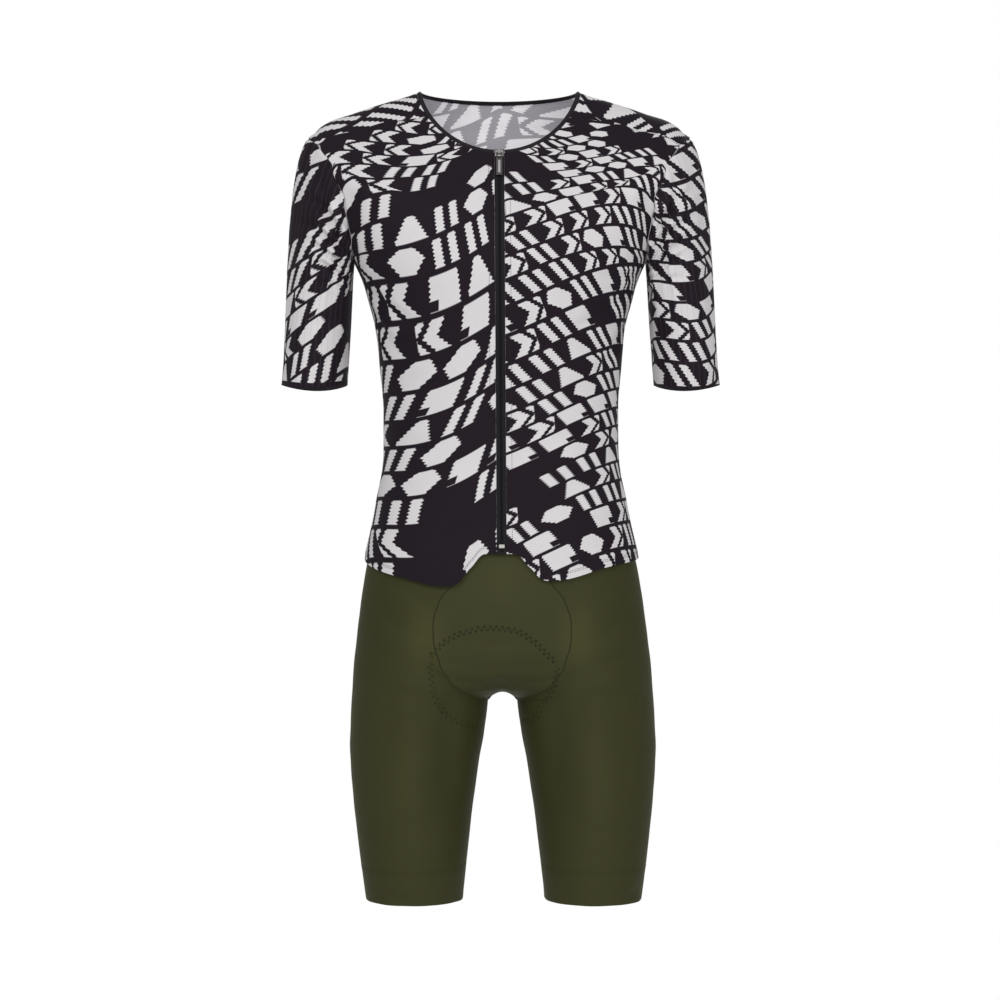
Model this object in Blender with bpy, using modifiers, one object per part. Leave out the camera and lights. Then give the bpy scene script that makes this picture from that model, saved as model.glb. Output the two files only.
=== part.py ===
"""Short-sleeved cycling suit, filled out as when it is worn: jersey with a full zip, shorts, sleeves.

X runs to the wearer's left, -Y to the front, +Z up. The origin lies midway between the points where
the shoulders meet the neck. Lengths are in metres, angles in radians unless a name says degrees.

Two surfaces carry the cloth. The jersey's is a stack of rings from the hem to the neck, and a place on
it is (turn, level): the turn from the centre front round the wearer's left side, and the ring's number.
The shorts' is one half of the seat that merges into a leg, and a place on it is (way, height): the share
of the way from the centre front round the outside to the centre back, and the height at the side.
"""

import math

import bmesh
import bpy
import numpy as np
from mathutils import Vector

SUIT = "cycling_suit"
CUTTERS = "cutters"

# Cloth
WALL = 0.0016            # jersey and shorts
TRIM_WALL = 0.0022       # neck binding and leg bands
TAPE_WALL = 0.0012       # zip tape
SEAM_GAP = 0.0006        # between two pieces at a seam, on the outside
SLEEVE_GAP = 0.0024      # twice what a sleeve's edges are drawn in by
LEAN_START = -0.0014     # the suit stands this far to the side at its origin
LEAN = 0.0062            # and drifts this far to the other side for each metre down

# Zip
ZIP_HALF = 0.0056        # from the centre line to the edge of a front
SLIDER_SIZE = (0.0096, 0.0024, 0.0094)
SLIDER_Z = -0.0822
BRIDGE_SIZE = (0.0022, 0.0034, 0.0074)
BRIDGE_SLOT = (0.0020, 0.0044)
BRIDGE_FRONT = 0.0009    # wall in front of the slot
TAB_SIZE = (0.0072, 0.0011, 0.0345)
TAB_BAR = 0.0011         # height of the bar that hangs in the bridge
TAB_EYE = (0.0044, 0.0074)
TAB_SEAT = 0.0012        # from the foot of the slot to the bar's middle
STOP_SIZE = (0.0064, 0.0016, 0.0042)
STOP_Z = -0.5300
HARD_GAP = 0.0008        # between the metal pieces and the tape
BRIDGE_SINK = 0.0004     # how far the bridge goes into the slider
SLIDER_ROUND = 0.0006    # rounding of the metal pieces' edges
TAB_ROUND = 0.0002
STOP_ROUND = 0.0004
ROUND_STEPS = 2

# Jersey rings from the hem to the neck. The three heights are those of the side, the front and the back.
RING_COLUMNS = ("level", "half_width", "front", "back", "side_z", "front_z", "back_z", "square")
JERSEY_RINGS = (
    (0, 0.1680, 0.1030, 0.1180, -0.6000, -0.6000, -0.6000, 2.35),
    (1, 0.1590, 0.0990, 0.1080, -0.5400, -0.5400, -0.5400, 2.35),
    (2, 0.1465, 0.0950, 0.0920, -0.4800, -0.4800, -0.4800, 2.30),
    (3, 0.1370, 0.0940, 0.0820, -0.4000, -0.4000, -0.4000, 2.25),
    (4, 0.1412, 0.1020, 0.0890, -0.3200, -0.3200, -0.3200, 2.25),
    (5, 0.1525, 0.1140, 0.1010, -0.2500, -0.2540, -0.2500, 2.30),
    (6, 0.1710, 0.1185, 0.1090, -0.1980, -0.2110, -0.1980, 2.40),
    (7, 0.1850, 0.1165, 0.1120, -0.1600, -0.1840, -0.1660, 2.40),
    (8, 0.2050, 0.1120, 0.1120, -0.1100, -0.1620, -0.1310, 2.35),
    (9, 0.2240, 0.1055, 0.1070, -0.0580, -0.1430, -0.0990, 2.30),
    (9.5, 0.2150, 0.1018, 0.1036, -0.0490, -0.1350, -0.0855, 2.28),
    (10, 0.2060, 0.0980, 0.1000, -0.0400, -0.1270, -0.0720, 2.25),
    (11, 0.1710, 0.0880, 0.0910, -0.0260, -0.1110, -0.0460, 2.15),
    (12, 0.1310, 0.0765, 0.0800, -0.0125, -0.0950, -0.0240, 2.05),
    (13, 0.1000, 0.0665, 0.0690, -0.0030, -0.0825, -0.0080, 2.00),
    (14, 0.0915, 0.0620, 0.0640, 0.0010, -0.0755, -0.0010, 2.00),
)
ARMPIT_LEVEL = 6.0
SHOULDER_LEVEL = 9.0
BINDING_LEVEL = 13.3
NECK_LEVEL = 14.0
FRONT_EASE = 0.25        # rounds the rings where they turn down at the shoulders

# Seams and hems of the jersey: distance from the centre line, height
SHOULDER_SEAM = ((0.0835, -0.0330), (0.1090, -0.0375), (0.1370, -0.0410), (0.1640, -0.0500),
                 (0.1875, -0.0545), (0.2110, -0.0655))
FRONT_ARMHOLE = ((0.2030, -0.0780), (0.1915, -0.0960), (0.1835, -0.1190), (0.1775, -0.1440),
                 (0.1735, -0.1640), (0.1712, -0.1830))
BACK_ARMHOLE = ((0.1712, -0.1830), (0.1745, -0.1640), (0.1795, -0.1430), (0.1875, -0.1160),
                (0.1975, -0.0930), (0.2120, -0.0700))
FRONT_HEM_RIGHT = ((0.0160, -0.5385), (0.0350, -0.5540), (0.0630, -0.5750), (0.1130, -0.5660))
FRONT_HEM_LEFT = ((0.0120, -0.5385), (0.0320, -0.5540), (0.0560, -0.5690), (0.1210, -0.5540))
HEM_FADE = 2.6           # levels over which the rows straighten above the hem
HEM_FADE_POWER = 1.5
HEM_CENTRE = -0.5385
HEM_SIDE = -0.5440
HEM_BACK = -0.5500

# Sleeve ends: centre, half width, half depth, height; the reach shapes the fall from the shoulder
CUFF_CENTRE = (0.2180, 0.0020)
CUFF_HALF = (0.0385, 0.0480)
CUFF_Z = -0.3430
CUFF_DIP = 0.0050        # the cuff hangs lower in front and behind by this
TOP_REACH = (0.085, 0.0, -0.100)
SIDE_REACH = 0.060       # backwards in front and forwards behind, as the jersey goes on there
ARMPIT_REACH = (0.004, 0.0, -0.150)
CUFF_REACH_INSIDE = (0.012, 0.0, -0.170)
CUFF_REACH_OUTSIDE = (0.024, 0.0, -0.170)

# Seat: sections round both hips, by height
SEAT_COLUMNS = ("z", "half_width", "front", "back", "square")
SEAT = (
    (-0.5100, 0.1482, 0.0910, 0.0945, 2.30),
    (-0.5400, 0.1548, 0.0935, 0.1025, 2.35),
    (-0.5750, 0.1615, 0.0955, 0.1105, 2.35),
    (-0.6100, 0.1665, 0.0965, 0.1165, 2.35),
    (-0.6450, 0.1706, 0.0950, 0.1185, 2.35),
    (-0.6800, 0.1748, 0.0910, 0.1180, 2.35),
    (-0.7150, 0.1770, 0.0880, 0.1160, 2.35),
)
# Legs: sections round one thigh, by height
LEG_COLUMNS = ("z", "centre_x", "centre_y", "half_width", "front", "back")
LEG = (
    (-0.6000, 0.0900, 0.0080, 0.0780, 0.0930, 0.1040),
    (-0.6600, 0.0935, 0.0070, 0.0795, 0.0900, 0.1000),
    (-0.7000, 0.0965, 0.0060, 0.0795, 0.0860, 0.0950),
    (-0.7465, 0.1000, 0.0050, 0.0784, 0.0820, 0.0880),
    (-0.7815, 0.1030, 0.0040, 0.0754, 0.0790, 0.0830),
    (-0.8165, 0.1042, 0.0030, 0.0718, 0.0760, 0.0785),
    (-0.8520, 0.1050, 0.0020, 0.0676, 0.0725, 0.0742),
    (-0.8870, 0.1050, 0.0010, 0.0635, 0.0690, 0.0700),
    (-0.9220, 0.1047, 0.0000, 0.0591, 0.0650, 0.0660),
    (-0.9600, 0.1040, 0.0000, 0.0545, 0.0610, 0.0620),
)
# Fork: how far the seat has become a leg, sideways and in depth, and how low its centre edge hangs
FORK_COLUMNS = ("z", "part", "merge", "front_z", "back_z")
FORK = (
    (-0.5100, 0.00, 0.000, -0.5100, -0.5100),
    (-0.5750, 0.00, 0.000, -0.5760, -0.5750),
    (-0.6050, 0.00, 0.015, -0.6110, -0.6080),
    (-0.6300, 0.02, 0.060, -0.6420, -0.6380),
    (-0.6500, 0.12, 0.160, -0.6680, -0.6620),
    (-0.6670, 0.32, 0.330, -0.6880, -0.6830),
    (-0.6840, 0.62, 0.600, -0.7020, -0.6990),
    (-0.7000, 1.00, 1.000, -0.7110, -0.7110),
    (-0.7250, 1.00, 1.000, -0.7290, -0.7290),
    (-0.7500, 1.00, 1.000, -0.7500, -0.7500),
    (-0.9600, 1.00, 1.000, -0.9600, -0.9600),
)
WAIST_TOP = -0.5160      # upper edge of the shorts, inside the jersey
FORK_Z = -0.7000
BAND_Z = -0.9085
LEG_END = -0.9430
STRIP_END = -0.6400      # where the strip between the legs ends behind
ARCH = 0.0090            # the strip's middle is higher than its edges by this
FORK_FILL = 0.22         # fills out the cloth above each leg where the seat turns into it
PELVIS_Z = -0.6000       # the arch between the legs points to this height on the centre line
DIP_WAY = 0.30           # share of the way over which the rings come down to the fork
# Seam of the shorts' front panel: distance from the centre line, height
FRONT_SEAM = ((0.0250, -0.5160), (0.0400, -0.5450), (0.0580, -0.5750), (0.0725, -0.5960), (0.0785, -0.6250),
              (0.0740, -0.6550), (0.0625, -0.6800), (0.0430, -0.6980), (0.0235, -0.7080))

# Seat pad
PAD_WALL = 0.0070
PAD_LIFT = 0.0055        # from the outside of the shorts to the pad
PAD_FRONT = -0.6150
PAD_BACK = -0.6250
PAD_WAY = 0.075          # how far it reaches on to each leg, as a share of the way round
PAD_FLARE = 0.0400       # it has that width from this far above the fork

# Points and steps for finding places on the surfaces
FINE = 20                # points to each face when a line is measured
SEARCH = (61, 121)       # first look for a place, across and along
NUDGE = 0.0001
ROUNDS = 12
RING_POINTS = 2001

# Faces along the seams
SIDE_ROWS = 8
FRONT_ARMHOLE_ROWS = 6
BACK_ARMHOLE_ROWS = 8
SHOULDER_ROWS = 5
FRONT_COLUMNS = 9
BACK_COLUMNS = 20
TAPE_ROWS = 16
SLEEVE_ROWS = 8
FORK_ROWS = 10
FORK_CROWDING = 1.4
LEG_ROWS = 7
LEG_COLUMNS_ROUND = 18
PANEL_COLUMNS = 8
PAD_ROWS = 5
BAND_ROWS = 2
PAD_COLUMNS = 10

BLACK = (0.020, 0.014, 0.019)
OLIVE = (0.047, 0.048, 0.022)
PRINT = (0.30, 0.28, 0.29)
METAL = (0.32, 0.31, 0.30)


def slopes(places, values):
    """Slopes for a smooth curve through the rows of a table, which never swings beyond them."""
    rises = np.diff(values, axis=0) / np.diff(places)[:, None]
    before, after = rises[:-1], rises[1:]
    steady = before * after > 0
    both = np.where(steady, before + after, 1.0)
    middle = np.where(steady, 2 * before * after / both, 0.0)
    return np.vstack([rises[:1], middle, rises[-1:]])


def smooth_at(places, values, at):
    """Values of a table at any place, on a smooth curve through its rows."""
    places = np.asarray(places, float)
    values = np.asarray(values, float)
    if places[0] > places[-1]:
        places, values = places[::-1], values[::-1]
    at = np.clip(np.asarray(at, float), places[0], places[-1])
    row = np.clip(np.searchsorted(places, at, side="right") - 1, 0, len(places) - 2)
    slope = slopes(places, values)
    step = (places[row + 1] - places[row])[..., None]
    t = ((at - places[row]) / step[..., 0])[..., None]
    start = values[row] + slope[row] * step * t
    end = values[row + 1] - slope[row + 1] * step * (1 - t)
    weight = t * t * (3 - 2 * t)
    return start * (1 - weight) + end * weight


def columns_at(names, table, at):
    """The columns of a table by name, at any place along its first one."""
    table = np.array(table)
    values = smooth_at(table[:, 0], table[:, 1:], at)
    return {name: values[..., number] for number, name in enumerate(names[1:])}


def power(value, exponent):
    """A power that keeps the sign."""
    return np.sign(value) * np.abs(value) ** exponent


def lean(points):
    points = np.array(points, float)
    points[..., 0] += LEAN_START - LEAN * points[..., 2]
    return points


def jersey(place):
    """Points on the jersey for (turn, level)."""
    place = np.asarray(place, float)
    turn, level = place[..., 0], place[..., 1]
    ring = columns_at(RING_COLUMNS, JERSEY_RINGS, level)
    across, along = np.sin(turn), np.cos(turn)
    x = ring["half_width"] * power(across, 2 / ring["square"])
    y = -np.where(along > 0, ring["front"], ring["back"]) * power(along, 2 / ring["square"])
    eased = (np.hypot(along, FRONT_EASE) - FRONT_EASE) / (math.hypot(1, FRONT_EASE) - FRONT_EASE)
    drop = np.where(along > 0, (ring["front_z"] - ring["side_z"]) * eased,
                    (ring["back_z"] - ring["side_z"]) * along ** 2)
    z = ring["side_z"] + drop
    return np.stack([x, y, z], axis=-1)


def shorts(place):
    """Points on the wearer's left half of the shorts for (way, height)."""
    place = np.asarray(place, float)
    way, height = place[..., 0], place[..., 1]
    ahead = way < 0.5
    seat = columns_at(SEAT_COLUMNS, SEAT, height)
    leg = columns_at(LEG_COLUMNS, LEG, height)
    fork = columns_at(FORK_COLUMNS, FORK, height)
    turn = math.pi * way
    seat_x = seat["half_width"] * power(np.sin(turn), 2 / seat["square"])
    seat_y = -np.where(ahead, seat["front"], seat["back"]) * power(np.cos(turn), 2 / seat["square"])
    angle = 2 * math.pi * way - math.pi
    thigh_x = leg["centre_x"] + leg["half_width"] * np.cos(angle)
    thigh_y = leg["centre_y"] + np.where(ahead, leg["front"], leg["back"]) * np.sin(angle)
    x = seat_x * (1 - fork["part"]) + thigh_x * fork["part"]
    y = seat_y * (1 - fork["merge"]) + thigh_y * fork["merge"]
    y *= 1 + FORK_FILL * fork["merge"] * (1 - fork["merge"]) * np.sin(2 * math.pi * way) ** 2
    near = np.clip(1 - np.minimum(way, 1 - way) / DIP_WAY, 0, 1)
    near = near * near * (3 - 2 * near)
    z = height + (np.where(ahead, fork["front_z"], fork["back_z"]) - height) * near
    return np.stack([x, y, z], axis=-1)


def locate(surface, low, high, x, z):
    """The place on a surface whose point has this distance from the centre line and this height."""
    columns = np.linspace(low[0], high[0], SEARCH[0])
    rows = np.linspace(low[1], high[1], SEARCH[1])
    places = np.stack(np.meshgrid(columns, rows), axis=-1)
    found = surface(places)
    miss = (found[..., 0] - x) ** 2 + (found[..., 2] - z) ** 2
    place = places.reshape(-1, 2)[int(np.argmin(miss))]
    for _ in range(ROUNDS):
        here = surface(place)[[0, 2]]
        across = (surface(place + (NUDGE, 0))[[0, 2]] - here) / NUDGE
        along = (surface(place + (0, NUDGE))[[0, 2]] - here) / NUDGE
        change = np.linalg.lstsq(np.column_stack([across, along]), np.array([x, z]) - here, rcond=None)[0]
        place = np.clip(place + np.clip(change, -0.2, 0.2), low, high)
    return place


def spread(points, count):
    """The same line with its points evenly apart."""
    points = np.asarray(points, float)
    lengths = np.concatenate([[0], np.cumsum(np.linalg.norm(np.diff(points, axis=0), axis=1))])
    at = np.linspace(0, lengths[-1], count + 1)
    return np.stack([np.interp(at, lengths, points[:, axis]) for axis in range(points.shape[1])], axis=-1)


def curve(surface, places, count):
    """Places along a smooth line through the given ones, evenly apart on the surface."""
    places = np.asarray(places, float)
    steps = np.linalg.norm(np.diff(surface(places), axis=0), axis=1)
    lengths = np.concatenate([[0], np.cumsum(steps)])
    fine = smooth_at(lengths, places, np.linspace(0, lengths[-1], FINE * count + 1))
    steps = np.linalg.norm(np.diff(surface(fine), axis=0), axis=1)
    lengths = np.concatenate([[0], np.cumsum(steps)])
    at = np.linspace(0, lengths[-1], count + 1)
    return np.stack([np.interp(at, lengths, fine[:, axis]) for axis in range(2)], axis=-1)


def panel(border, inner, hem, columns):
    """Places inside a panel. Its rows start at the border's places, each at one level but near the hem."""
    share = np.linspace(1, 0, columns + 1)
    low = border[0][1]
    rows = []
    for turn, level in border:
        fade = max(0.0, 1 - (level - low) / HEM_FADE) ** HEM_FADE_POWER
        turns = inner(turn, level) * (1 - share) + turn * share
        rows.append(np.column_stack([turns, level + (hem(turns) - low) * fade]))
    return np.array(rows)


def inset(grid, gap=SEAM_GAP, closed=False):
    """Draws a grid's border in by half a seam's gap."""
    grid = grid.copy()

    def draw_in(edge, inner):
        way = inner - edge
        return edge + way / np.linalg.norm(way, axis=-1, keepdims=True) * gap / 2

    first, last = draw_in(grid[0], grid[1]), draw_in(grid[-1], grid[-2])
    grid[0], grid[-1] = first, last
    if not closed:
        first, last = draw_in(grid[:, 0], grid[:, 1]), draw_in(grid[:, -1], grid[:, -2])
        grid[:, 0], grid[:, -1] = first, last
    return grid


def mirrored(grid):
    """The same grid on the other side, with its columns turned round so that it still faces out."""
    grid = grid.copy()
    grid[..., 0] *= -1
    return grid[:, ::-1]


def material(name, colour, roughness, metallic=0.0):
    found = bpy.data.materials.get(name)
    if found:
        return found
    made = bpy.data.materials.new(name)
    made.use_nodes = True
    shader = made.node_tree.nodes["Principled BSDF"]
    shader.inputs["Base Color"].default_value = (*colour, 1.0)
    shader.inputs["Roughness"].default_value = roughness
    shader.inputs["Metallic"].default_value = metallic
    return made


def add_object(name, mesh, look):
    thing = bpy.data.objects.new(name, mesh)
    mesh.materials.append(look)
    bpy.data.collections[SUIT].objects.link(thing)
    return thing


def cloth(name, grid, look, wall=WALL, closed=False):
    """A wall of cloth under a grid of outer points, whose rows run up and columns to the wearer's left."""
    rows, columns = grid.shape[:2]
    points = lean(grid).reshape(-1, 3)
    faces = []
    for row in range(rows - 1):
        for column in range(columns if closed else columns - 1):
            right = (column + 1) % columns
            faces.append((row * columns + column, row * columns + right,
                          (row + 1) * columns + right, (row + 1) * columns + column))
    mesh = bpy.data.meshes.new(name)
    mesh.from_pydata(points.tolist(), [], faces)
    mesh.shade_smooth()
    thing = add_object(name, mesh, look)
    shell = thing.modifiers.new("wall", "SOLIDIFY")
    shell.thickness = wall
    shell.offset = -1
    return thing


def front_place(x, z):
    return locate(jersey, (0.0, 0.0), (math.pi / 2, NECK_LEVEL), x, z)


def front_hem(points):
    """The level of a front's hem at any turn, and its place at the side."""
    side = (math.pi / 2, float(locate_level(math.pi / 2, HEM_SIDE)))
    places = [front_place(ZIP_HALF, HEM_CENTRE)] + [front_place(*point) for point in points] + [side]
    line = curve(jersey, places, FINE)
    return lambda turns: np.interp(turns, line[:, 0], line[:, 1]), side


def back_hem(turns):
    """The level of the back's hem at any turn."""
    heights = HEM_BACK + (HEM_SIDE - HEM_BACK) * np.sin(turns) ** 2
    return np.array([locate_level(turn, z) for turn, z in zip(turns, heights)])


def armholes():
    """Places along the shoulder seam from the neck, and up the front and back armholes to its end."""
    seam = curve(jersey, [front_place(*point) for point in SHOULDER_SEAM], SHOULDER_ROWS)
    seam[0][1] = BINDING_LEVEL
    side_top = (math.pi / 2, ARMPIT_LEVEL)
    front = curve(jersey, [side_top] + [front_place(*point) for point in FRONT_ARMHOLE[::-1]] + [seam[-1]],
                  FRONT_ARMHOLE_ROWS)
    low, high = (math.pi / 2, 0.0), (math.pi, NECK_LEVEL)
    points = [locate(jersey, low, high, *point) for point in BACK_ARMHOLE]
    over = (math.pi / 2, SHOULDER_LEVEL)
    back = curve(jersey, [side_top] + points + [over, seam[-1]], BACK_ARMHOLE_ROWS)
    return seam, front, back


def locate_level(turn, z):
    """The level at which the jersey has this height."""
    levels = np.linspace(0, NECK_LEVEL, RING_POINTS)
    heights = jersey(np.column_stack([np.full(len(levels), turn), levels]))[:, 2]
    return np.interp(z, heights, levels)


def place_on_ring(x, level):
    """The turn at which a ring has this distance from the centre line, in front."""
    turns = np.linspace(0, math.pi / 2, RING_POINTS)
    return float(np.interp(x, jersey(np.column_stack([turns, np.full(len(turns), level)]))[:, 0], turns))


def zip_turn(turn, level):
    return place_on_ring(ZIP_HALF, level)


def build_jersey():
    """Fronts, back, sleeves, binding and zip tapes."""
    cloth_look = material("jersey_cloth", PRINT, 0.7)
    dark = material("binding_cloth", BLACK, 0.6)
    seam, front_armhole, back_armhole = armholes()
    side_top = (math.pi / 2, ARMPIT_LEVEL)
    for name, points, mirror in (("jersey_front_left", FRONT_HEM_LEFT, False),
                                 ("jersey_front_right", FRONT_HEM_RIGHT, True)):
        hem, hem_side = front_hem(points)
        border = np.vstack([np.linspace(hem_side, side_top, SIDE_ROWS + 1), front_armhole[1:], seam[::-1][1:]])
        places = panel(border, zip_turn, hem, FRONT_COLUMNS)[:, ::-1]
        grid = inset(jersey(places))
        cloth(name, mirrored(grid) if mirror else grid, cloth_look)
    front_neck = places[-1, :, 0]
    border = np.vstack([np.linspace(hem_side, side_top, SIDE_ROWS + 1), back_armhole[1:], seam[::-1][1:]])
    places = panel(border, lambda turn, level: 2 * math.pi - turn, back_hem, BACK_COLUMNS)
    back_neck = places[-1, :, 0]
    cloth("jersey_back", inset(jersey(places)), cloth_look)

    rim = np.vstack([front_armhole, back_armhole[::-1][1:-1]])
    grid = sleeve_grid(rim)
    cloth("sleeve_left", inset(grid, SLEEVE_GAP, closed=True), cloth_look, closed=True)
    cloth("sleeve_right", inset(mirrored(grid), SLEEVE_GAP, closed=True), cloth_look, closed=True)

    turns = np.concatenate([front_neck[:-1], back_neck, 2 * math.pi - front_neck[-2::-1]])
    start = place_on_ring(ZIP_HALF + SEAM_GAP, BINDING_LEVEL)
    turns[0], turns[-1] = start, 2 * math.pi - start
    levels = (BINDING_LEVEL, NECK_LEVEL)
    places = np.stack(np.meshgrid(turns, levels), axis=-1)
    cloth("neck_binding", inset(jersey(places)), dark, wall=TRIM_WALL)

    levels = np.linspace(locate_level(0, HEM_CENTRE), NECK_LEVEL, TAPE_ROWS + 1)
    edges = [(0.0, place_on_ring(ZIP_HALF, level)) for level in levels]
    places = np.array([[(turn, level) for turn in pair] for pair, level in zip(edges, levels)])
    tape = inset(jersey(places))
    cloth("zip_tape_left", tape, dark, wall=TAPE_WALL)
    cloth("zip_tape_right", mirrored(tape), dark, wall=TAPE_WALL)


def sleeve_grid(places):
    """A sleeve from the armhole's places, which run from the armpit up its front, to the cuff."""
    rim = jersey(places)
    count = len(rim)
    top = int(np.argmax(rim[:, 2]))
    share = np.where(np.arange(count) <= top, np.arange(count) / top / 2,
                     0.5 + (np.arange(count) - top) / (count - top) / 2)
    angle = 2 * math.pi * share
    topness = ((1 - np.cos(angle)) / 2)[:, None]
    cuff = np.column_stack([CUFF_CENTRE[0] - CUFF_HALF[0] * np.cos(angle),
                            CUFF_CENTRE[1] - CUFF_HALF[1] * np.sin(angle),
                            CUFF_Z - CUFF_DIP * np.sin(angle) ** 2])
    across = jersey(places + (NUDGE, 0)) - jersey(places - (NUDGE, 0))
    along = jersey(places + (0, NUDGE)) - jersey(places - (0, NUDGE))
    onward = np.cross(np.roll(rim, -1, axis=0) - np.roll(rim, 1, axis=0), np.cross(across, along))
    onward /= np.linalg.norm(onward, axis=1, keepdims=True)
    leave = np.array(ARMPIT_REACH) * (1 - topness) + np.array(TOP_REACH) * topness
    leave[:, 1] += SIDE_REACH * onward[:, 1] * topness[:, 0]
    arrive = np.array(CUFF_REACH_INSIDE) * (1 - topness) + np.array(CUFF_REACH_OUTSIDE) * topness
    rows = []
    for v in np.linspace(1, 0, SLEEVE_ROWS + 1):
        rows.append(rim * (2 * v ** 3 - 3 * v ** 2 + 1) + leave * (v ** 3 - 2 * v ** 2 + v)
                    + cuff * (3 * v ** 2 - 2 * v ** 3) + arrive * (v ** 3 - v ** 2))
    return np.array(rows)


def fork_heights():
    """Heights of the rows above the fork, closer together near it."""
    return FORK_Z + (WAIST_TOP - FORK_Z) * np.linspace(0, 1, FORK_ROWS + 1) ** FORK_CROWDING


def seam_way(height):
    """The way to the front panel's seam at a height of the side."""
    if height <= FORK_Z:
        return 0.0
    places = [locate(shorts, (0.0, FORK_Z), (0.5, WAIST_TOP), *point) for point in FRONT_SEAM]
    places.append((0.0, FORK_Z))
    places = np.array(places)
    order = np.argsort(places[:, 1])
    return float(np.interp(height, places[order, 1], places[order, 0]))


def bridge(edge, inward, count):
    """Points from the centre line to one leg's centre edge, arched between the legs."""
    share = np.linspace(0, 1, count)[:, None]
    middle = np.array([0.0, edge[1], edge[2]]) + inward
    return middle + (edge - middle) * np.hstack([share, share ** 2, share ** 2])


def centre_row(height, way, behind=False):
    """Half a row across the front panel or the strip, from the centre line outwards."""
    sign = 1.0 if behind else 0.0
    edge = shorts((sign, height))
    inward = np.array([0.0, -edge[1], PELVIS_Z - edge[2]])
    inward *= ARCH * (edge[0] / shorts((0.0, FORK_Z))[0]) ** 2 / np.linalg.norm(inward)
    points = bridge(edge, inward, FINE)
    if way > 0:
        ways = np.linspace(0, way, FINE)[1:]
        ways = 1 - ways if behind else ways
        points = np.vstack([points, shorts(np.column_stack([ways, np.full(len(ways), height)]))])
    return points


def full_row(height, way, count, behind=False):
    """A row across both halves, from the wearer's right to left."""
    half = spread(centre_row(height, way, behind), count // 2)
    other = half[::-1] * (-1, 1, 1)
    return np.vstack([other, half[1:]])


def build_shorts():
    """Legs, bands, front panel with its strip, and the pad."""
    olive = material("shorts_cloth", OLIVE, 0.75)
    heights = fork_heights()
    ways = [seam_way(height) for height in heights]

    rows = []
    for height in np.linspace(BAND_Z, FORK_Z, LEG_ROWS + 1)[:-1]:
        rows.append(leg_row(0.0, height))
    for height, way in zip(heights, ways):
        rows.append(leg_row(way, height))
    grid = inset(np.array(rows))
    cloth("shorts_leg_left", grid, olive)
    cloth("shorts_leg_right", mirrored(grid), olive)

    band_rows = [leg_row(0.0, height)[:-1] for height in np.linspace(LEG_END, BAND_Z, BAND_ROWS + 1)]
    band = inset(np.array(band_rows), closed=True)
    cloth("leg_band_left", band, olive, closed=True)
    cloth("leg_band_right", mirrored(band), olive, closed=True)

    front = [full_row(height, way, PANEL_COLUMNS) for height, way in zip(heights, ways)]
    strip = [full_row(height, 0.0, PANEL_COLUMNS, behind=True) for height in heights if height <= STRIP_END]
    cloth("shorts_front", inset(np.array(strip[::-1] + front[1:])), olive)

    behind = [full_row(height, pad_way(height), PAD_COLUMNS, behind=True)
              for height in np.linspace(PAD_BACK, FORK_Z, PAD_ROWS + 1)[:-1]]
    ahead = [full_row(height, pad_way(height), PAD_COLUMNS)
             for height in np.linspace(FORK_Z, PAD_FRONT, PAD_ROWS + 1)]
    grid = np.array(behind + ahead)
    cloth("seat_pad", moved_in(grid, PAD_LIFT), material("pad_foam", BLACK, 0.8), wall=PAD_WALL)


def pad_way(height):
    return PAD_WAY * min(1.0, (height - FORK_Z) / PAD_FLARE)


def leg_row(way, height):
    ways = np.linspace(way, 1, FINE * LEG_COLUMNS_ROUND)
    points = shorts(np.column_stack([ways, np.full(len(ways), height)]))
    return spread(points, LEG_COLUMNS_ROUND)


def moved_in(grid, distance):
    """A grid moved to the inside of the cloth."""
    along = np.gradient(grid, axis=1)
    up = np.gradient(grid, axis=0)
    normal = np.cross(along, up)
    return grid - normal / np.linalg.norm(normal, axis=-1, keepdims=True) * distance


def block(name, size, place, collection, parent=None):
    """A plain box."""
    mesh = bpy.data.meshes.new(name)
    shape = bmesh.new()
    bmesh.ops.create_cube(shape, size=1)
    bmesh.ops.scale(shape, vec=Vector(size), verts=shape.verts)
    shape.to_mesh(mesh)
    shape.free()
    thing = bpy.data.objects.new(name, mesh)
    bpy.data.collections[collection].objects.link(thing)
    thing.parent = parent
    thing.location = place
    return thing


def cutter(name, size, place, parent):
    thing = block(name, size, place, CUTTERS, parent)
    thing.hide_render = True
    thing.display_type = "WIRE"
    return thing


def combine(thing, other, operation):
    step = thing.modifiers.new(other.name, "BOOLEAN")
    step.object = other
    step.operation = operation


def soften(thing, width):
    edges = thing.modifiers.new("edges", "BEVEL")
    edges.width = width
    edges.segments = ROUND_STEPS


def seat_on_zip(name, z, height):
    """An empty on the zip's outside at a height, tilted as the zip lies there."""
    levels = locate_level(0.0, np.array([z - height / 2, z + height / 2]))
    low, high = lean(jersey(np.column_stack([np.zeros(2), levels])))
    seat = bpy.data.objects.new(name, None)
    bpy.data.collections[SUIT].objects.link(seat)
    seat.location = (low + high) / 2
    seat.rotation_euler.x = -math.atan2(high[1] - low[1], high[2] - low[2])
    return seat


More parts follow.
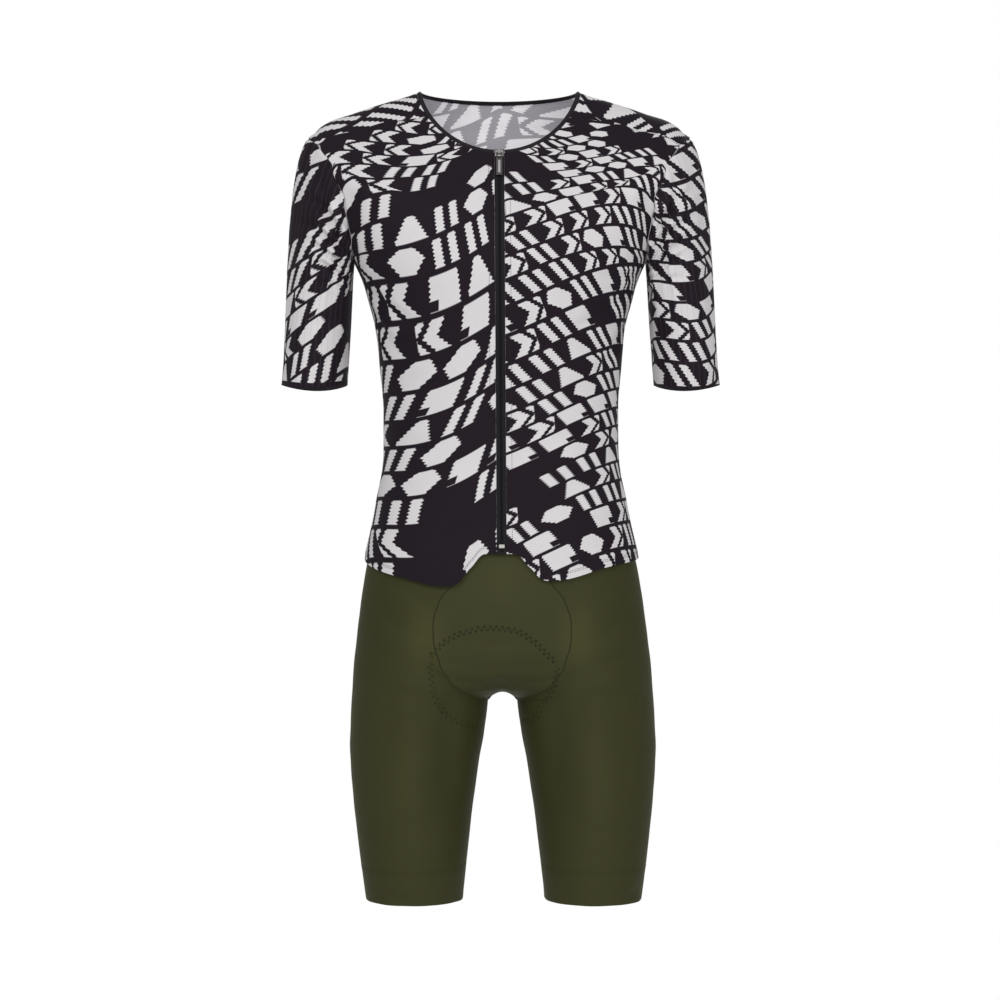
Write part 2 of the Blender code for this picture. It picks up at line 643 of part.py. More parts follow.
def build_zip_parts():
    """Slider with its bridge, pull tab on the bridge, and the stop."""
    metal = material("zip_metal", METAL, 0.3, 1.0)
    seat = seat_on_zip("slider_seat", SLIDER_Z, SLIDER_SIZE[2])
    face = -HARD_GAP - SLIDER_SIZE[1]
    slider = block("zip_slider", SLIDER_SIZE, (0, face + SLIDER_SIZE[1] / 2, 0), SUIT, seat)
    slider.data.materials.append(metal)
    soften(slider, SLIDER_ROUND)
    bridge = cutter("bridge_block", BRIDGE_SIZE, (0, face - BRIDGE_SIZE[1] / 2 + BRIDGE_SINK, 0), seat)
    combine(slider, bridge, "UNION")
    slot_y = face - BRIDGE_SIZE[1] + BRIDGE_SINK + BRIDGE_FRONT + BRIDGE_SLOT[0] / 2
    slot = cutter("bridge_slot", (SLIDER_SIZE[0], *BRIDGE_SLOT), (0, slot_y, 0), seat)
    combine(slider, slot, "DIFFERENCE")

    tab = block("pull_tab", TAB_SIZE, (0, slot_y, TAB_SEAT - BRIDGE_SLOT[1] / 2), SUIT, seat)
    tab.data.materials.append(metal)
    for corner in tab.data.vertices:
        corner.co.z += TAB_BAR / 2 - TAB_SIZE[2] / 2
    eye_size = (TAB_EYE[0], TAB_SIZE[1] * 2, TAB_EYE[1])
    eye = cutter("tab_eye", eye_size, (0, 0, -TAB_BAR / 2 - TAB_EYE[1] / 2), tab)
    combine(tab, eye, "DIFFERENCE")
    soften(tab, TAB_ROUND)

    foot = seat_on_zip("stop_seat", STOP_Z, STOP_SIZE[2])
    stop = block("zip_stop", STOP_SIZE, (0, -HARD_GAP - STOP_SIZE[1] / 2, 0), SUIT, foot)
    stop.data.materials.append(metal)
    soften(stop, STOP_ROUND)


def main():
    for thing in list(bpy.data.objects):
        bpy.data.objects.remove(thing, do_unlink=True)
    for name in (SUIT, CUTTERS):
        bpy.context.scene.collection.children.link(bpy.data.collections.new(name))
    build_jersey()
    build_shorts()
    build_zip_parts()


main()
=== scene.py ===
import math
import bpy
import numpy as np
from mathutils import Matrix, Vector
from mathutils.bvhtree import BVHTree


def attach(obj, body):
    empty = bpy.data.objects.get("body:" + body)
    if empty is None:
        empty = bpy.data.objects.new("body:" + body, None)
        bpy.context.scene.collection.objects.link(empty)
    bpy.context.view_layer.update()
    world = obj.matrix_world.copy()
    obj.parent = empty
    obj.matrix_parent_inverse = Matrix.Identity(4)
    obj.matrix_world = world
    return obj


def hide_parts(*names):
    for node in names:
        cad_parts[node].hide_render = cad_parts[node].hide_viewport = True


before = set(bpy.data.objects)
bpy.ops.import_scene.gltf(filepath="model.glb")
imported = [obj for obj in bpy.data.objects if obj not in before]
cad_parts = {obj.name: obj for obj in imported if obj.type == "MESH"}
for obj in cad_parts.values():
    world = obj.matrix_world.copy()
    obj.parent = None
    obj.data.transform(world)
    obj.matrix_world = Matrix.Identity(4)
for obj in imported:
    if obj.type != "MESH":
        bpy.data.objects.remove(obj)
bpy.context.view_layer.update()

# Metres. +X to the wearer's left, -Y to the front, +Z up, origin between the shoulders at the neck.
# Two surfaces carry the cloth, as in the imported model: jerseyAt(turn, level) and shortsAt(way, height).

suit = {
    "body": "suit",
    "leanStart": -0.0014,
    "lean": 0.0062,
    "seamGap": 0.0001,
    "nudge": 0.0004,
    "stretch": 1.04,                # how far the cloth is stretched as worn
    "leastFlat": 0.0101,            # the narrowest width of a sheet
    "tableSteps": 2001,
    "curveSteps": 401,
}
# how the place of a point on a surface is searched for
search = {"columns": 61, "rows": 121, "rounds": 12, "step": 0.0001, "leap": 0.2}

jerseyForm = {
    "columns": ("level", "halfWidth", "front", "back", "sideZ", "frontZ", "backZ", "square"),
    "rings": (
        (0, 0.1680, 0.1030, 0.1180, -0.6000, -0.6000, -0.6000, 2.35),
        (1, 0.1590, 0.0990, 0.1080, -0.5400, -0.5400, -0.5400, 2.35),
        (2, 0.1465, 0.0950, 0.0920, -0.4800, -0.4800, -0.4800, 2.30),
        (3, 0.1370, 0.0940, 0.0820, -0.4000, -0.4000, -0.4000, 2.25),
        (4, 0.1412, 0.1020, 0.0890, -0.3200, -0.3200, -0.3200, 2.25),
        (5, 0.1525, 0.1140, 0.1010, -0.2500, -0.2540, -0.2500, 2.30),
        (6, 0.1710, 0.1185, 0.1090, -0.1980, -0.2110, -0.1980, 2.40),
        (7, 0.1850, 0.1165, 0.1120, -0.1600, -0.1840, -0.1660, 2.40),
        (8, 0.2050, 0.1120, 0.1120, -0.1100, -0.1620, -0.1310, 2.35),
        (9, 0.2240, 0.1055, 0.1070, -0.0580, -0.1430, -0.0990, 2.30),
        (9.5, 0.2150, 0.1018, 0.1036, -0.0490, -0.1350, -0.0855, 2.28),
        (10, 0.2060, 0.0980, 0.1000, -0.0400, -0.1270, -0.0720, 2.25),
        (11, 0.1710, 0.0880, 0.0910, -0.0260, -0.1110, -0.0460, 2.15),
        (12, 0.1310, 0.0765, 0.0800, -0.0125, -0.0950, -0.0240, 2.05),
        (13, 0.1000, 0.0665, 0.0690, -0.0030, -0.0825, -0.0080, 2.00),
        (14, 0.0915, 0.0620, 0.0640, 0.0010, -0.0755, -0.0010, 2.00),
    ),
    "ease": 0.25,
    "armpit": 6.0,
    "shoulder": 9.0,
    "bindingFrom": 13.3,
    "bindingTo": 14.0,
    "zipHalf": 0.0056,
    # seams and hems: distance from the centre line, height
    "shoulderSeam": ((0.0835, -0.0330), (0.1090, -0.0375), (0.1370, -0.0410), (0.1640, -0.0500),
                     (0.1875, -0.0545), (0.2110, -0.0655)),
    "frontArmhole": ((0.2030, -0.0780), (0.1915, -0.0960), (0.1835, -0.1190), (0.1775, -0.1440),
                     (0.1735, -0.1640), (0.1712, -0.1830)),
    "backArmhole": ((0.1712, -0.1830), (0.1745, -0.1640), (0.1795, -0.1430), (0.1875, -0.1160),
                    (0.1975, -0.0930), (0.2120, -0.0700)),
    "hemRight": ((0.0160, -0.5385), (0.0350, -0.5540), (0.0630, -0.5750), (0.1130, -0.5660)),
    "hemLeft": ((0.0120, -0.5385), (0.0320, -0.5540), (0.0560, -0.5690), (0.1210, -0.5540)),
    "hemCentre": -0.5385,
    "hemSide": -0.5440,
    "hemBack": -0.5500,
    "hemFade": 2.6,                 # levels over which the rows straighten above the hem
}

shortsForm = {
    "seatColumns": ("z", "halfWidth", "front", "back", "square"),
    "seat": (
        (-0.5100, 0.1482, 0.0910, 0.0945, 2.30),
        (-0.5400, 0.1548, 0.0935, 0.1025, 2.35),
        (-0.5750, 0.1615, 0.0955, 0.1105, 2.35),
        (-0.6100, 0.1665, 0.0965, 0.1165, 2.35),
        (-0.6450, 0.1706, 0.0950, 0.1185, 2.35),
        (-0.6800, 0.1748, 0.0910, 0.1180, 2.35),
        (-0.7150, 0.1770, 0.0880, 0.1160, 2.35),
    ),
    "legColumns": ("z", "centreX", "centreY", "halfWidth", "front", "back"),
    "leg": (
        (-0.6000, 0.0900, 0.0080, 0.0780, 0.0930, 0.1040),
        (-0.6600, 0.0935, 0.0070, 0.0795, 0.0900, 0.1000),
        (-0.7000, 0.0965, 0.0060, 0.0795, 0.0860, 0.0950),
        (-0.7465, 0.1000, 0.0050, 0.0784, 0.0820, 0.0880),
        (-0.7815, 0.1030, 0.0040, 0.0754, 0.0790, 0.0830),
        (-0.8165, 0.1042, 0.0030, 0.0718, 0.0760, 0.0785),
        (-0.8520, 0.1050, 0.0020, 0.0676, 0.0725, 0.0742),
        (-0.8870, 0.1050, 0.0010, 0.0635, 0.0690, 0.0700),
        (-0.9220, 0.1047, 0.0000, 0.0591, 0.0650, 0.0660),
        (-0.9600, 0.1040, 0.0000, 0.0545, 0.0610, 0.0620),
    ),
    "forkColumns": ("z", "part", "merge", "frontZ", "backZ"),
    "fork": (
        (-0.5100, 0.00, 0.000, -0.5100, -0.5100),
        (-0.5750, 0.00, 0.000, -0.5760, -0.5750),
        (-0.6050, 0.00, 0.015, -0.6110, -0.6080),
        (-0.6300, 0.02, 0.060, -0.6420, -0.6380),
        (-0.6500, 0.12, 0.160, -0.6680, -0.6620),
        (-0.6670, 0.32, 0.330, -0.6880, -0.6830),
        (-0.6840, 0.62, 0.600, -0.7020, -0.6990),
        (-0.7000, 1.00, 1.000, -0.7110, -0.7110),
        (-0.7250, 1.00, 1.000, -0.7290, -0.7290),
        (-0.7500, 1.00, 1.000, -0.7500, -0.7500),
        (-0.9600, 1.00, 1.000, -0.9600, -0.9600),
    ),
    "waistTop": -0.5160,
    "forkZ": -0.7000,
    "bandZ": -0.9085,
    "legEnd": -0.9430,
    "stripEnd": -0.6400,
    "arch": 0.0090,
    "fill": 0.22,
    "pelvisZ": -0.6000,
    "dipWay": 0.30,
    # distance from the centre line, height
    "frontSeam": ((0.0250, -0.5160), (0.0400, -0.5450), (0.0580, -0.5750), (0.0725, -0.5960),
                  (0.0785, -0.6250), (0.0740, -0.6550), (0.0625, -0.6800), (0.0430, -0.6980),
                  (0.0235, -0.7080)),
}


def pairs(first, second):
    # rows of two measures, either of which may be a single number
    return np.column_stack(np.broadcast_arrays(first, second))


def unit(vectors):
    return vectors / np.maximum(np.linalg.norm(vectors, axis=-1, keepdims=True), 1e-12)


def bell(offset):
    return np.exp(-offset ** 2)


def bothSides(name):
    return (name + "_left", 1), (name + "_right", -1)


def slopesOf(places, values):
    rises = np.diff(values, axis=0) / np.diff(places)[:, None]
    before, after = rises[:-1], rises[1:]
    steady = before * after > 0
    both = np.where(steady, before + after, 1.0)
    middle = np.where(steady, 2 * before * after / both, 0.0)
    return np.vstack([rises[:1], middle, rises[-1:]])


def smoothAt(places, values, at):
    # values of a table at any place, on a smooth curve that never swings beyond its rows
    places, values = np.asarray(places, float), np.asarray(values, float)
    if places[0] > places[-1]:
        places, values = places[::-1], values[::-1]
    at = np.clip(np.asarray(at, float), places[0], places[-1])
    row = np.clip(np.searchsorted(places, at, side="right") - 1, 0, len(places) - 2)
    slope = slopesOf(places, values)
    step = (places[row + 1] - places[row])[..., None]
    t = ((at - places[row]) / step[..., 0])[..., None]
    start = values[row] + slope[row] * step * t
    end = values[row + 1] - slope[row + 1] * step * (1 - t)
    weight = t * t * (3 - 2 * t)
    return start * (1 - weight) + end * weight


def columnsAt(names, table, at):
    table = np.array(table)
    values = smoothAt(table[:, 0], table[:, 1:], at)
    return {name: values[..., number] for number, name in enumerate(names[1:])}


def signedPower(value, exponent):
    return np.sign(value) * np.abs(value) ** exponent


def lean(points):
    points = np.array(points, float)
    points[..., 0] += suit["leanStart"] - suit["lean"] * points[..., 2]
    return points


def jerseyAt(place):
    place = np.asarray(place, float)
    turn, level = place[..., 0], place[..., 1]
    ring = columnsAt(jerseyForm["columns"], jerseyForm["rings"], level)
    across, along = np.sin(turn), np.cos(turn)
    x = ring["halfWidth"] * signedPower(across, 2 / ring["square"])
    y = -np.where(along > 0, ring["front"], ring["back"]) * signedPower(along, 2 / ring["square"])
    ease = jerseyForm["ease"]
    eased = (np.hypot(along, ease) - ease) / (math.hypot(1, ease) - ease)
    drop = np.where(along > 0, (ring["frontZ"] - ring["sideZ"]) * eased,
                    (ring["backZ"] - ring["sideZ"]) * along ** 2)
    return np.stack([x, y, ring["sideZ"] + drop], axis=-1)


def shortsAt(place):
    place = np.asarray(place, float)
    way, height = place[..., 0], place[..., 1]
    ahead = way < 0.5
    seat = columnsAt(shortsForm["seatColumns"], shortsForm["seat"], height)
    leg = columnsAt(shortsForm["legColumns"], shortsForm["leg"], height)
    fork = columnsAt(shortsForm["forkColumns"], shortsForm["fork"], height)
    turn = math.pi * way
    seatX = seat["halfWidth"] * signedPower(np.sin(turn), 2 / seat["square"])
    seatY = -np.where(ahead, seat["front"], seat["back"]) * signedPower(np.cos(turn), 2 / seat["square"])
    angle = 2 * math.pi * way - math.pi
    thighX = leg["centreX"] + leg["halfWidth"] * np.cos(angle)
    thighY = leg["centreY"] + np.where(ahead, leg["front"], leg["back"]) * np.sin(angle)
    x = seatX * (1 - fork["part"]) + thighX * fork["part"]
    y = seatY * (1 - fork["merge"]) + thighY * fork["merge"]
    y *= 1 + shortsForm["fill"] * fork["merge"] * (1 - fork["merge"]) * np.sin(2 * math.pi * way) ** 2
    near = np.clip(1 - np.minimum(way, 1 - way) / shortsForm["dipWay"], 0, 1)
    near = near * near * (3 - 2 * near)
    z = height + (np.where(ahead, fork["frontZ"], fork["backZ"]) - height) * near
    return np.stack([x, y, z], axis=-1)


def locate(surface, low, high, x, z):
    # the place on a surface whose point has this distance from the centre line and this height
    columns = np.linspace(low[0], high[0], search["columns"])
    rows = np.linspace(low[1], high[1], search["rows"])
    places = np.dstack(np.meshgrid(columns, rows))
    found = surface(places)
    miss = (found[..., 0] - x) ** 2 + (found[..., 2] - z) ** 2
    place = places.reshape(-1, 2)[int(np.argmin(miss))]
    step, leap = search["step"], search["leap"]
    for _ in range(search["rounds"]):
        here = surface(place)[[0, 2]]
        across = (surface(place + (step, 0))[[0, 2]] - here) / step
        along = (surface(place + (0, step))[[0, 2]] - here) / step
        change = np.linalg.lstsq(np.column_stack([across, along]), np.array([x, z]) - here, rcond=None)[0]
        place = np.clip(place + np.clip(change, -leap, leap), low, high)
    return place


def lengthsAlong(points):
    steps = np.linalg.norm(np.diff(points, axis=0), axis=1)
    return np.concatenate([[0], np.cumsum(steps)])


def pointsAt(at, lengths, points):
    return np.stack([np.interp(at, lengths, column) for column in points.T], axis=-1)


def spread(points, shares):
    # the same line with its points at these shares of its length
    points = np.asarray(points, float)
    lengths = lengthsAlong(points)
    return pointsAt(np.asarray(shares) * lengths[-1], lengths, points)


def curveThrough(surface, places, shares):
    # places along a smooth line through the given ones
    places = np.asarray(places, float)
    lengths = lengthsAlong(surface(places))
    fine = smoothAt(lengths, places, np.linspace(0, lengths[-1], suit["curveSteps"]))
    lengths = lengthsAlong(surface(fine))
    return pointsAt(np.asarray(shares) * lengths[-1], lengths, fine)


def crowded(count, ends=0.35):
    # shares from 0 to 1, closer together at both ends
    t = np.linspace(0, 1, count + 1)
    return t - (1 - ends) * np.sin(2 * math.pi * t) / (2 * math.pi)


def normalsOf(surface, places):
    step = suit["nudge"]
    across = surface(places + np.array((step, 0))) - surface(places - np.array((step, 0)))
    along = surface(places + np.array((0, step))) - surface(places - np.array((0, step)))
    return unit(np.cross(across, along))


def gridNormals(grid):
    return unit(np.cross(np.gradient(grid, axis=1), np.gradient(grid, axis=0)))


def levelAt(turn, z):
    levels = np.linspace(0, jerseyForm["bindingTo"], suit["tableSteps"])
    return np.interp(z, jerseyAt(pairs(turn, levels))[:, 2], levels)


def turnAt(x, level):
    turns = np.linspace(0, math.pi / 2, suit["tableSteps"])
    return float(np.interp(x, jerseyAt(pairs(turns, level))[:, 0], turns))


# where the jersey's panels end, as the turn at each level
half = math.pi / 2
fine = np.linspace(0, 1, 161)


def jerseyPlaces(line, start=0.0):
    # places on the quarter of the jersey that begins at this turn
    end = (start + half, jerseyForm["bindingTo"])
    return [locate(jerseyAt, (start, 0.0), end, x, z) for x, z in line]


seamPlaces = curveThrough(jerseyAt, jerseyPlaces(jerseyForm["shoulderSeam"]), fine)
seamPlaces[:, 1] += (jerseyForm["bindingFrom"] - seamPlaces[0, 1]) * np.linspace(1, 0, len(fine)) ** 4
tipPlace = seamPlaces[-1]
armpitPlace = (half, jerseyForm["armpit"])
frontLine = [armpitPlace, *jerseyPlaces(jerseyForm["frontArmhole"][::-1]), tipPlace]
backLine = [armpitPlace, *jerseyPlaces(jerseyForm["backArmhole"], half),
            (half, jerseyForm["shoulder"]), tipPlace]
frontArmhole = curveThrough(jerseyAt, frontLine, fine)
backArmhole = curveThrough(jerseyAt, backLine, fine)


def borderTurns(armhole):
    line = np.vstack([[(half, -1.0)], armhole, seamPlaces[::-1][1:]])
    levels = np.maximum.accumulate(line[:, 1] + np.arange(len(line)) * 1e-9)
    return lambda level: np.interp(level, levels, line[:, 0])


frontBorder = borderTurns(frontArmhole)
backBorder = borderTurns(backArmhole)
zipLevels = np.linspace(0, jerseyForm["bindingTo"], 141)
zipTurns = [turnAt(jerseyForm["zipHalf"], level) for level in zipLevels]
print("borders found", round(float(tipPlace[0]), 3), round(float(tipPlace[1]), 3))


def zipBorder(level):
    return np.interp(level, zipLevels, zipTurns)


def frontHem(points):
    places = jerseyPlaces([(jerseyForm["zipHalf"], jerseyForm["hemCentre"]), *points])
    places.append((half, levelAt(half, jerseyForm["hemSide"])))
    line = curveThrough(jerseyAt, places, fine)
    return lambda turn: np.interp(turn, line[:, 0], line[:, 1])


def backHem():
    turns = np.linspace(half, 3 * half, 41)
    heights = jerseyForm["hemBack"] + (jerseyForm["hemSide"] - jerseyForm["hemBack"]) * np.sin(turns) ** 2
    levels = [levelAt(turn, z) for turn, z in zip(turns, heights)]
    return lambda turn: np.interp(turn, turns, levels)


def panelPlaces(inner, outer, hem, rows, columns, along=0.8):
    # rows of even level inside two borders, which follow the hem below
    low = float(hem(np.array(along)))
    levels = np.linspace(low, jerseyForm["bindingFrom"], 400)
    lengths = lengthsAlong(jerseyAt(pairs(along, levels)))
    base = np.interp(crowded(rows) * lengths[-1], lengths, levels)[:, None]
    fade = np.clip(1 - (base - low) / jerseyForm["hemFade"], 0, 1) ** 1.5
    share = crowded(columns)[None, :]
    level = base + 0 * share
    for _ in range(4):
        turn = inner(level) * (1 - share) + outer(level) * share
        level = base + (hem(turn) - low) * fade
    return np.stack([turn, level], axis=-1)


# soft troughs and ridges, as seen from in front: two ends (x, z), width, depth and how far the middle bows
jerseyFolds = {
    "front": (
        (-0.162, -0.222, -0.075, -0.290, 0.0052, 0.0022, 0.006),
        (-0.160, -0.236, -0.100, -0.330, 0.0044, 0.0018, 0.004),
        (-0.164, -0.218, -0.112, -0.228, 0.0038, 0.0018, 0.003),
        (-0.166, -0.206, -0.120, -0.176, 0.0042, 0.0015, -0.003),
        (0.160, -0.222, 0.080, -0.285, 0.0052, 0.0021, -0.006),
        (0.162, -0.236, 0.108, -0.340, 0.0044, 0.0018, -0.003),
        (0.164, -0.216, 0.110, -0.222, 0.0038, 0.0017, -0.003),
        (-0.120, -0.405, -0.050, -0.425, 0.0090, 0.0010, 0.004),
        (0.125, -0.395, 0.045, -0.420, 0.0080, 0.0011, 0.005),
        (-0.130, -0.455, -0.070, -0.480, 0.0070, 0.0008, 0.003),
        (-0.175, -0.100, -0.150, -0.190, 0.0085, 0.0013, 0.004),
        (0.176, -0.100, 0.152, -0.185, 0.0085, 0.0011, -0.004),
        (-0.010, -0.500, -0.075, -0.535, 0.0090, 0.0009, 0.004),
    ),
    "back": (
        (-0.155, -0.205, -0.060, -0.270, 0.0090, 0.0015, 0.006),
        (0.150, -0.215, 0.070, -0.285, 0.0080, 0.0013, -0.004),
        (-0.110, -0.385, 0.020, -0.400, 0.0100, 0.0018, -0.006),
        (0.120, -0.415, -0.010, -0.430, 0.0110, 0.0015, -0.004),
        (-0.090, -0.450, 0.060, -0.462, 0.0090, 0.0012, 0.004),
        (-0.165, -0.110, -0.120, -0.180, 0.0080, 0.0011, 0.004),
        (0.160, -0.105, 0.118, -0.170, 0.0080, 0.0012, -0.004),
    ),
}

sleeveFolds = {
    "front": (
        (0.172, -0.196, 0.226, -0.116, 0.0042, 0.0034, -0.009),
        (0.171, -0.206, 0.228, -0.148, 0.0036, 0.0034, -0.006),
        (0.171, -0.214, 0.222, -0.174, 0.0032, 0.0032, -0.004),
        (0.172, -0.222, 0.214, -0.196, 0.0030, 0.0026, -0.003),
        (0.173, -0.232, 0.214, -0.222, 0.0032, 0.0022, -0.003),
        (0.178, -0.184, 0.206, -0.092, 0.0048, 0.0024, 0.006),
        (0.186, -0.262, 0.222, -0.268, 0.0060, 0.0009, 0.003),
        (0.190, -0.305, 0.226, -0.316, 0.0070, 0.0007, 0.003),
    ),
    "back": (
        (0.178, -0.205, 0.240, -0.140, 0.0065, 0.0030, -0.008),
        (0.182, -0.222, 0.245, -0.190, 0.0055, 0.0021, -0.006),
        (0.186, -0.262, 0.230, -0.275, 0.0080, 0.0010, 0.003),
    ),
}

shortsFolds = {
    "front": (
        (0.022, -0.712, 0.100, -0.664, 0.0085, 0.0017, 0.006),
        (0.026, -0.735, 0.098, -0.712, 0.0075, 0.0012, 0.005),
        (0.088, -0.640, 0.160, -0.600, 0.0120, 0.0013, 0.004),
        (0.100, -0.700, 0.160, -0.690, 0.0120, 0.0008, 0.004),
        (0.050, -0.800, 0.110, -0.812, 0.0110, 0.0009, 0.003),
        (0.095, -0.855, 0.150, -0.866, 0.0100, 0.0008, -0.003),
        (0.108, -0.690, 0.106, -0.870, 0.0190, -0.0022, 0.002),
        (0.060, -0.700, 0.080, -0.880, 0.0120, 0.0012, -0.003),
    ),
    "back": (
        (0.024, -0.715, 0.115, -0.690, 0.0100, 0.0026, 0.008),
        (0.030, -0.740, 0.105, -0.722, 0.0080, 0.0016, 0.005),
        (0.050, -0.600, 0.150, -0.580, 0.0140, 0.0010, 0.006),
        (0.070, -0.830, 0.140, -0.842, 0.0100, 0.0009, 0.004),
    ),
}


bandFolds = {
    "front": (
        (0.128, -0.937, 0.160, -0.925, 0.0052, 0.0014, 0.003),
        (-0.140, -0.934, -0.105, -0.939, 0.0050, 0.0009, -0.002),
    ),
    "back": (
        (0.070, -0.930, 0.110, -0.936, 0.0050, 0.0010, 0.002),
    ),
}


# how the hollow of a fold is shaped, as shares of its width, and how softly front turns to back
foldShape = {"soft": 0.03, "taper": 0.8, "narrow": 0.7, "widen": 0.5, "rim": 0.45, "rimAt": 2.1}


def halves(points, soft):
    # how far each point belongs to the front and to the back
    facing = np.clip(0.5 - points[..., 1] / soft, 0, 1)
    return ("front", facing), ("back", 1 - facing)


def foldDepth(points, folds):
    # how far the cloth goes in, for points of the front or the back half
    form, total = foldShape, np.zeros(points.shape[:-1])
    x, z = points[..., 0], points[..., 2]
    for part, weight in halves(points, form["soft"]):
        for x0, z0, x1, z1, width, depth, bow in folds[part]:
            run = math.hypot(x1 - x0, z1 - z0)
            ax, az = (x1 - x0) / run, (z1 - z0) / run
            t = ((x - x0) * ax + (z - z0) * az) / run
            off = (x - x0) * az - (z - z0) * ax - bow * 4 * t * (1 - t)
            taper = np.clip(1 - (2 * t - 1) ** 2, 0, 1) ** form["taper"]
            wide = width * (form["narrow"] + form["widen"] * np.clip(t, 0, 1))
            rim = bell((np.abs(off) - form["rimAt"] * wide) / wide)
            shape = bell(off / wide) - form["rim"] * rim
            total += depth * shape * taper * weight
    return total


# what the seams do to the cloth beside them, and how near to them the folds die out
seamShape = {"dip": 0.00040, "dipWidth": 0.0011, "ridge": 0.00026, "ridgeAt": 0.0042, "ridgeWidth": 0.0021,
             "calm": 0.009}


def borderDistance(grid, sides):
    # distance along the cloth to the nearest of the named sides of a grid
    rowStep = np.linalg.norm(np.diff(grid, axis=1), axis=2)
    columnStep = np.linalg.norm(np.diff(grid, axis=0), axis=2)
    fromLeft = np.concatenate([np.zeros((len(grid), 1)), np.cumsum(rowStep, axis=1)], axis=1)
    fromBottom = np.concatenate([np.zeros((1, grid.shape[1])), np.cumsum(columnStep, axis=0)], axis=0)
    found = {"left": fromLeft, "right": fromLeft[:, -1:] - fromLeft, "bottom": fromBottom,
             "top": fromBottom[-1:] - fromBottom}
    return np.min([found[name] for name in sides], axis=0), fromLeft, fromBottom


def seamRelief(distance):
    dip = seamShape["dip"] * bell(distance / seamShape["dipWidth"])
    return dip - seamShape["ridge"] * bell((distance - seamShape["ridgeAt"]) / seamShape["ridgeWidth"])


def drawnIn(grid, gap, around=False):
    # the border moved in by half a gap, but for the two ends of a piece that closes round
    grid = grid.copy()

    def moved(edge, inner):
        return edge + unit(inner - edge) * gap / 2

    grid[0], grid[-1] = moved(grid[0], grid[1]), moved(grid[-1], grid[-2])
    if not around:
        grid[:, 0], grid[:, -1] = moved(grid[:, 0], grid[:, 1]), moved(grid[:, -1], grid[:, -2])
    return grid


def gridFaces(rows, columns):
    row, column = np.meshgrid(np.arange(rows - 1), np.arange(columns - 1), indexing="ij")
    corner = row * columns + column
    return np.stack([corner, corner + 1, corner + columns + 1, corner + columns], axis=-1).reshape(-1, 4)


def addObject(name, data, place=(0, 0, 0), turn=(0, 0, 0)):
    added = bpy.data.objects.new(name, data)
    added.location, added.rotation_euler = place, turn
    bpy.context.scene.collection.objects.link(added)
    return added


def addMesh(name, points, faces, finishes):
    mesh = bpy.data.meshes.new(name)
    mesh.from_pydata(points.tolist(), [], faces.tolist())
    mesh.shade_smooth()
    for finish in finishes:
        mesh.materials.append(looks[finish])
    return addObject(name, mesh)


def addMap(piece, name, flat, faces):
    layer = piece.data.uv_layers.new(name=name)
    layer.data.foreach_set("uv", flat[faces.reshape(-1)].astype(np.float32).ravel())


trees = {}


def clothPiece(name, grid, maps, finishes, wall, side=1, crisp=True):
    # a shell under a grid of outer points, which carries its flat measures as UV maps
    if side < 0:                                         # the wearer's right is the left one, mirrored
        grid, maps = grid[:, ::-1] * (-1, 1, 1), {key: value[:, ::-1] for key, value in maps.items()}
    words = name.split("_")
    points, faces = lean(grid).reshape(-1, 3), gridFaces(*grid.shape[:2])
    piece = addMesh(words[0] + "".join(word.title() for word in words[1:]), points, faces, finishes)
    for key, value in maps.items():
        addMap(piece, key, value.reshape(-1, 2), faces)
    if crisp:                                            # no soft roll at the edges: a flat seam hardly shows
        used = np.zeros(len(piece.data.edges), dtype=int)
        edges = np.empty(faces.size, dtype=np.int32)
        piece.data.loops.foreach_get("edge_index", edges)
        np.add.at(used, edges, 1)
        piece.data.attributes.new("sharp_edge", "BOOLEAN", "EDGE").data.foreach_set("value", used == 1)
    shell = piece.modifiers.new("wall", "SOLIDIFY")
    shell.thickness = wall
    shell.offset = -1
    shell.material_offset = len(finishes) - 1            # the second one is the wrong side of the cloth
    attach(piece, suit["body"])
    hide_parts(name)
    trees[name] = BVHTree.FromPolygons(points.tolist(), faces.tolist())
    first, second = grid[1:, 1:] - grid[:-1, :-1], grid[1:, :-1] - grid[:-1, 1:]
    area = np.linalg.norm(np.cross(first, second), axis=2).sum() / 2
    cut = 1 / suit["stretch"]                            # the cloth is worn a little stretched
    area = round(float(area) * cut * cut, 4)


# one small class turns shader maths into plain expressions
class Sock:
    def __init__(self, tree, socket):
        self.tree, self.socket = tree, socket

    def join(self, operation, *others):
        node = self.tree.nodes.new("ShaderNodeMath")
        node.operation = operation
        for slot, value in zip(node.inputs, (self,) + others):
            if isinstance(value, Sock):
                self.tree.links.new(value.socket, slot)
            else:
                slot.default_value = float(value)
        return Sock(self.tree, node.outputs[0])

    def __add__(self, other): return self.join("ADD", other)
    def __radd__(self, other): return self.join("ADD", other)
    def __sub__(self, other): return self.join("SUBTRACT", other)
    def __rsub__(self, other): return (self * -1.0).join("ADD", other)
    def __mul__(self, other): return self.join("MULTIPLY", other)
    def __rmul__(self, other): return self.join("MULTIPLY", other)
    def __truediv__(self, other): return self.join("DIVIDE", other)
    def __lt__(self, other): return self.join("LESS_THAN", other)
    def floor(self): return self.join("FLOOR")
    def fract(self): return self.join("FRACT")
    def size(self): return self.join("ABSOLUTE")
    def sine(self): return self.join("SINE")
    def most(self, other): return self.join("MAXIMUM", other)

    def below(self, edge, soft):
        # 1 under the edge, 0 over it, with a soft step between
        return ((edge - self) / (2 * soft) + 0.5).join("MINIMUM", 1.0).join("MAXIMUM", 0.0)


